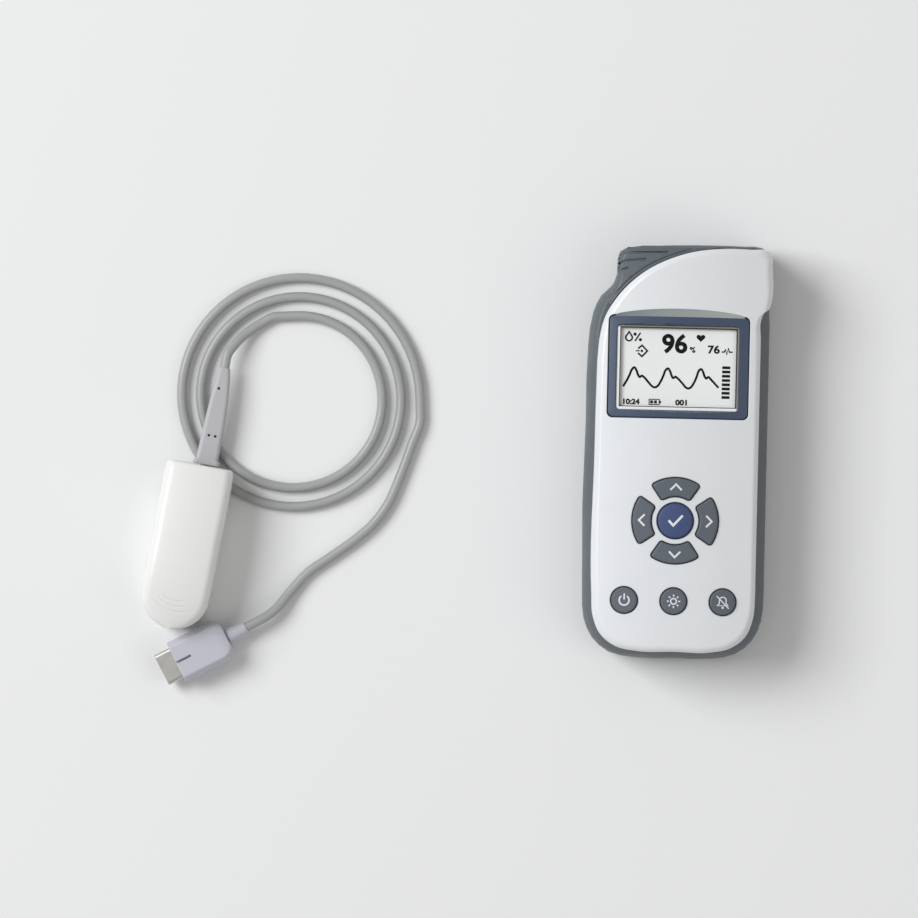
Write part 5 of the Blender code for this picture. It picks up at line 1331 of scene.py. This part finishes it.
def build_clip():
    for name, upper, body in (
        ("clip_lower_shell", False, "oximeter"), ("clip_upper_shell", True, "upper_jaw"),
    ):
        rings = [jaw_ring(share, share * half_clip, upper, 0.0) for share in (1.0, *jaw_shares(0.0))]
        item = new_piece(name.replace("_shell", "_case"), lofted(rings), "clip_plastic", body)
        cut_with(item, jaw_hollow(upper))
        ear_x = upper_ear_x if upper else lower_ear_x
        for x in (ear_x, -ear_x - ear_thickness):
            cut_with(item, ear_form(x, upper), "UNION")
        bore = [(side * pin_half_length, pin_radius + pin_play) for side in (-1, 1)]
        cut_with(item, along_hinge(bore))
        for cutter in [grip_groove_form(radius) for radius in grip_radii] if upper else [notch_form()]:
            cut_with(item, cutter)
        stand_in(item, name, 35, clip_matrix)
    build_pad("clip_lower_pad", "detector_window", False, "oximeter")
    build_pad("clip_upper_pad", "emitter_window", True, "upper_jaw")
    end = pin_half_length - fit_gap
    ends = [(end, pin_radius - pin_chamfer), (end - pin_chamfer, pin_radius)]
    pin = along_hinge([(-x, radius) for x, radius in ends] + ends[::-1])
    stand_in(new_piece("hinge_pin", pin, "screw_steel"), "clip_pin", 30, clip_matrix)
    build_torsion_spring()


def build_torsion_spring():
    """A coil round the hinge pin, whose legs push the finger grips apart, the upper one low enough
    for the opened jaw.
    """
    low, high = torsion_low_angle, torsion_high_angle
    turned = math.tau * torsion_turns + math.pi - low - high
    steps = torsion_turns * 28
    points = []
    for k in range(steps + 1):
        angle = low - math.pi / 2 + turned * k / steps
        points.append(Vector((
            torsion_half_width * (2 * k / steps - 1),
            hinge_y + torsion_radius * math.cos(angle), hinge_z + torsion_radius * math.sin(angle),
        )))
    low_way = Vector((0, -math.cos(low), -math.sin(low)))
    high_way = Vector((0, -math.cos(high), math.sin(high)))
    route = [points[0] + low_way * torsion_leg, *points, points[-1] + high_way * torsion_leg]
    spring = new_piece("torsion_spring", tube_form(route, torsion_wire_radius, 12), "spring_steel")
    stand_in(spring, "clip_spring", 50, clip_matrix)


# Boot at the clip, flat and tapering to the cable
# Along it: its left and its right half width and its half thickness, as shares
boot_table = [
    (1.0, 0.43, 0.45, 0.96), (0.85, 0.51, 0.62, 0.98), (0.62, 0.655, 0.77, 0.98),
    (0.32, 0.76, 0.83, 0.98), (0.07, 0.83, 0.83, 0.98),
]
boot_sizes = (boot_half_width, boot_half_width, boot_half_thickness)
# The flange at the clip, in metres
boot_flange = [
    (0.0, 0.0049, 0.0049, 0.0018), (0.0001, 0.0051, 0.0051, 0.0020), (0.0003, 0.0052, 0.0052, 0.0021),
    (0.0015, 0.0052, 0.0052, 0.0021), (0.0018, 0.0051, 0.0051, 0.0021),
    (0.0020, 0.0048, 0.0048, 0.0021), (0.0021, 0.0044, 0.0044, 0.00206),
]
boot_taper = (0.07, 0.985)
# The rounding of its end: how far back each ring lies and how much smaller it is
boot_end = ((0.0002, 0.00006), (0.0, 0.0002))
boot_corner_share = 0.72
boot_dimples = [(-0.0010, 0.0116), (0.0015, 0.0116), (-0.0006, 0.0302)]
dimple_radius = 0.0005
dimple_depth = 0.0026


def build_boot():
    front = half_clip + fit_gap
    stations = list(boot_flange)
    for k in range(25):
        share = boot_taper[0] + (boot_taper[1] - boot_taper[0]) * k / 24
        sizes = [table_value(boot_table, share, i + 1) * size for i, size in enumerate(boot_sizes)]
        stations.append((share * boot_length, *sizes))
    for back, smaller in boot_end:
        stations.append((boot_length - back, *[size - smaller for size in sizes]))
    rings = []
    for y, left, right, thickness in stations:
        middle = (boot_x + (right - left) / 2, boot_axis_height)
        corner = thickness * boot_corner_share
        outline = rounded_rectangle(middle, left + right, 2 * thickness, corner, 9, 3)
        rings.append(along_y(outline, front + y))
    boot = new_piece("cable_boot", lofted(rings), "boot_rubber")
    top = boot_axis_height + boot_half_thickness
    for x, y in boot_dimples:
        dimple = circle((boot_x + x, front + y), dimple_radius, 24)
        cut_with(boot, prism(dimple, top - dimple_depth, top + overshoot))
    stand_in(boot, "clip_boot", 35, clip_matrix)


# Plug, made in its own frame, whose +Y runs to the cable
hood_width = 0.0170
hood_chamfer = 0.0021
hood_rounding = 0.0005
# The slot in the hood's top: its centre, width, length, corner and the points of a corner
hood_slot = ((0, 0.0022), 0.0009, 0.0086, 0.0004, 6)
hood_slot_depth = 0.0016
plug_shell_width = 0.0130
plug_shell_depth = 0.0050
plug_shell_reach = 0.0065
plug_shell_seat = 0.0050
plug_shell_corner = 0.0014
plug_shell_wall = 0.0005
# Round the metal shell, out and back in: offsets and places
plug_shell_stations = [
    (-0.00015, -plug_shell_reach), (0.0, 0.0002 - plug_shell_reach), (0.0, plug_shell_seat),
    (-plug_shell_wall, plug_shell_seat), (-plug_shell_wall, 0.0002 - plug_shell_reach),
    (-0.00035, -plug_shell_reach),
]
# Along the hood: places and sizes, as shares, and along the short boot: radii and places
hood_stations = [(0.0, 1.0), (0.80, 1.0), (0.87, 0.945), (0.93, 0.86), (1.0, 0.62)]
plug_boot_stations = [
    (0.0029, 0.0), (0.0031, 0.0002),
    *[(0.0031 - 0.0007 * k / 8, 0.0002 + 0.0076 * k / 8) for k in range(1, 9)],
    (0.0022, plug_boot_length),
]


def shell_outline(extra, y):
    outline = rounded_rectangle(
        (0, hood_depth / 2), plug_shell_width + 2 * extra, plug_shell_depth + 2 * extra,
        plug_shell_corner + extra, 9,
    )
    return along_y(outline, y)


def build_plug():
    """The hood, the metal shell and the short boot, as separate pieces."""
    rings = []
    for along, size in hood_stations:
        width = hood_width * size / 2
        depth = hood_depth * (1 + size) / 2
        low = (hood_depth - depth) / 2
        chamfer = hood_chamfer * size
        half = [
            (width - chamfer, low), (width, low + chamfer), (width, low + depth - chamfer),
            (width - chamfer, low + depth),
        ]
        rings.append(along_y(mirrored(half), along * hood_length))
    builder = lofted(rings)
    sharp = [edge for edge in builder.edges if edge.calc_face_angle(0.0) > math.radians(22)]
    bmesh.ops.bevel(
        builder, geom=sharp, offset=hood_rounding, segments=4, profile=0.5, affect="EDGES",
        clamp_overlap=True,
    )
    hood = new_piece("plug_housing", builder, "hood_plastic")
    slot = rounded_rectangle(*hood_slot)
    cut_with(hood, prism(slot, hood_depth - hood_slot_depth, hood_depth + overshoot))
    cut_with(hood, lofted([shell_outline(fit_gap, y) for y in (-overshoot, plug_shell_seat + fit_gap)]))
    rings = [shell_outline(extra, y) for extra, y in plug_shell_stations]
    shell = new_piece("plug_sleeve", lofted(rings, around=True), "nickel_plate")
    start = hood_length + fit_gap
    boot = new_piece("plug_relief", lofted([
        along_y(circle((0, hood_depth / 2), radius, 36), start + y) for radius, y in plug_boot_stations
    ]), "hood_plastic")
    return [
        stand_in(hood, "plug_hood", 25, plug_matrix), stand_in(shell, "plug_shell", 35, plug_matrix),
        stand_in(boot, "plug_boot", 35, plug_matrix),
    ]


build_front()
build_crescent()
build_bezel()
for key_name, key_outline in key_outlines.items():
    build_key(key_name, key_outline)
build_screen()
build_symbols()
build_rear()
dressed("battery_door", "rear_plastic", 32)
dressed("sensor_socket", "socket_plastic")
build_clip()
build_boot()
plug_pieces = [*build_plug(), dressed("plug_contacts", "socket_plastic")]
for node_name, node_finish in {
    "display_window": "window_clear", "lcd_panel": "lcd_paper", "backlight_frame": "frame_plastic",
    "main_board": "board_mask", "keypad_membrane": "membrane_rubber", "speaker": "speaker_paper",
}.items():
    painted(node_name, node_finish)
for place in ("top_left", "top_middle", "top_right", "bottom_left", "bottom_right"):
    painted("contact_" + place, "nickel_plate")
for k in range(1, 5):
    painted(f"case_screw_{k}", "screw_steel")
    painted(f"battery_cell_{k}", "cell_film")
    painted(f"battery_spring_{k}", "nickel_plate")

# Stage and light
floor_material = bpy.data.materials.new("floor")
floor_material.use_nodes = True
floor_shader = floor_material.node_tree.nodes["Principled BSDF"]
floor_shader.inputs["Base Color"].default_value = linear(240, 240, 240)
floor_shader.inputs["Roughness"].default_value = 0.9
floor_builder = bmesh.new()
bmesh.ops.create_grid(floor_builder, x_segments=1, y_segments=1, size=6)
floor = link(bpy.data.objects.new("floor", new_mesh("floor", floor_builder)))
floor.data.materials.append(floor_material)
floor.location.z = -0.0002


object_middle = Vector((-0.08, 0.0, 0.0))


def lamp(name, location, size, level, color):
    """A square soft box that lights a level surface at the object's middle to a share of its colour."""
    data = bpy.data.lights.new(name, "AREA")
    data.shape = "SQUARE"
    data.size = size
    data.color = color
    way = Vector(location) - object_middle
    data.energy = level * math.pi**2 * way.length**2 / way.normalized().z
    item = link(bpy.data.objects.new(name, data))
    item.location = location
    item.rotation_euler = way.to_track_quat("Z", "Y").to_euler()


lamp("key_light", (-2.3, 0.9, 2.4), 1.8, 0.55, (0.97, 0.985, 1.0))
lamp("fill_light", (1.7, -0.6, 2.0), 1.6, 0.08, (1.0, 0.97, 0.93))
world = bpy.data.worlds.new("world")
bpy.context.scene.world = world
world.use_nodes = True
background = world.node_tree.nodes["Background"]
background.inputs["Color"].default_value = (1.0, 1.0, 1.0, 1.0)
background.inputs["Strength"].default_value = 0.35
bpy.context.scene.view_settings.view_transform = "Standard"
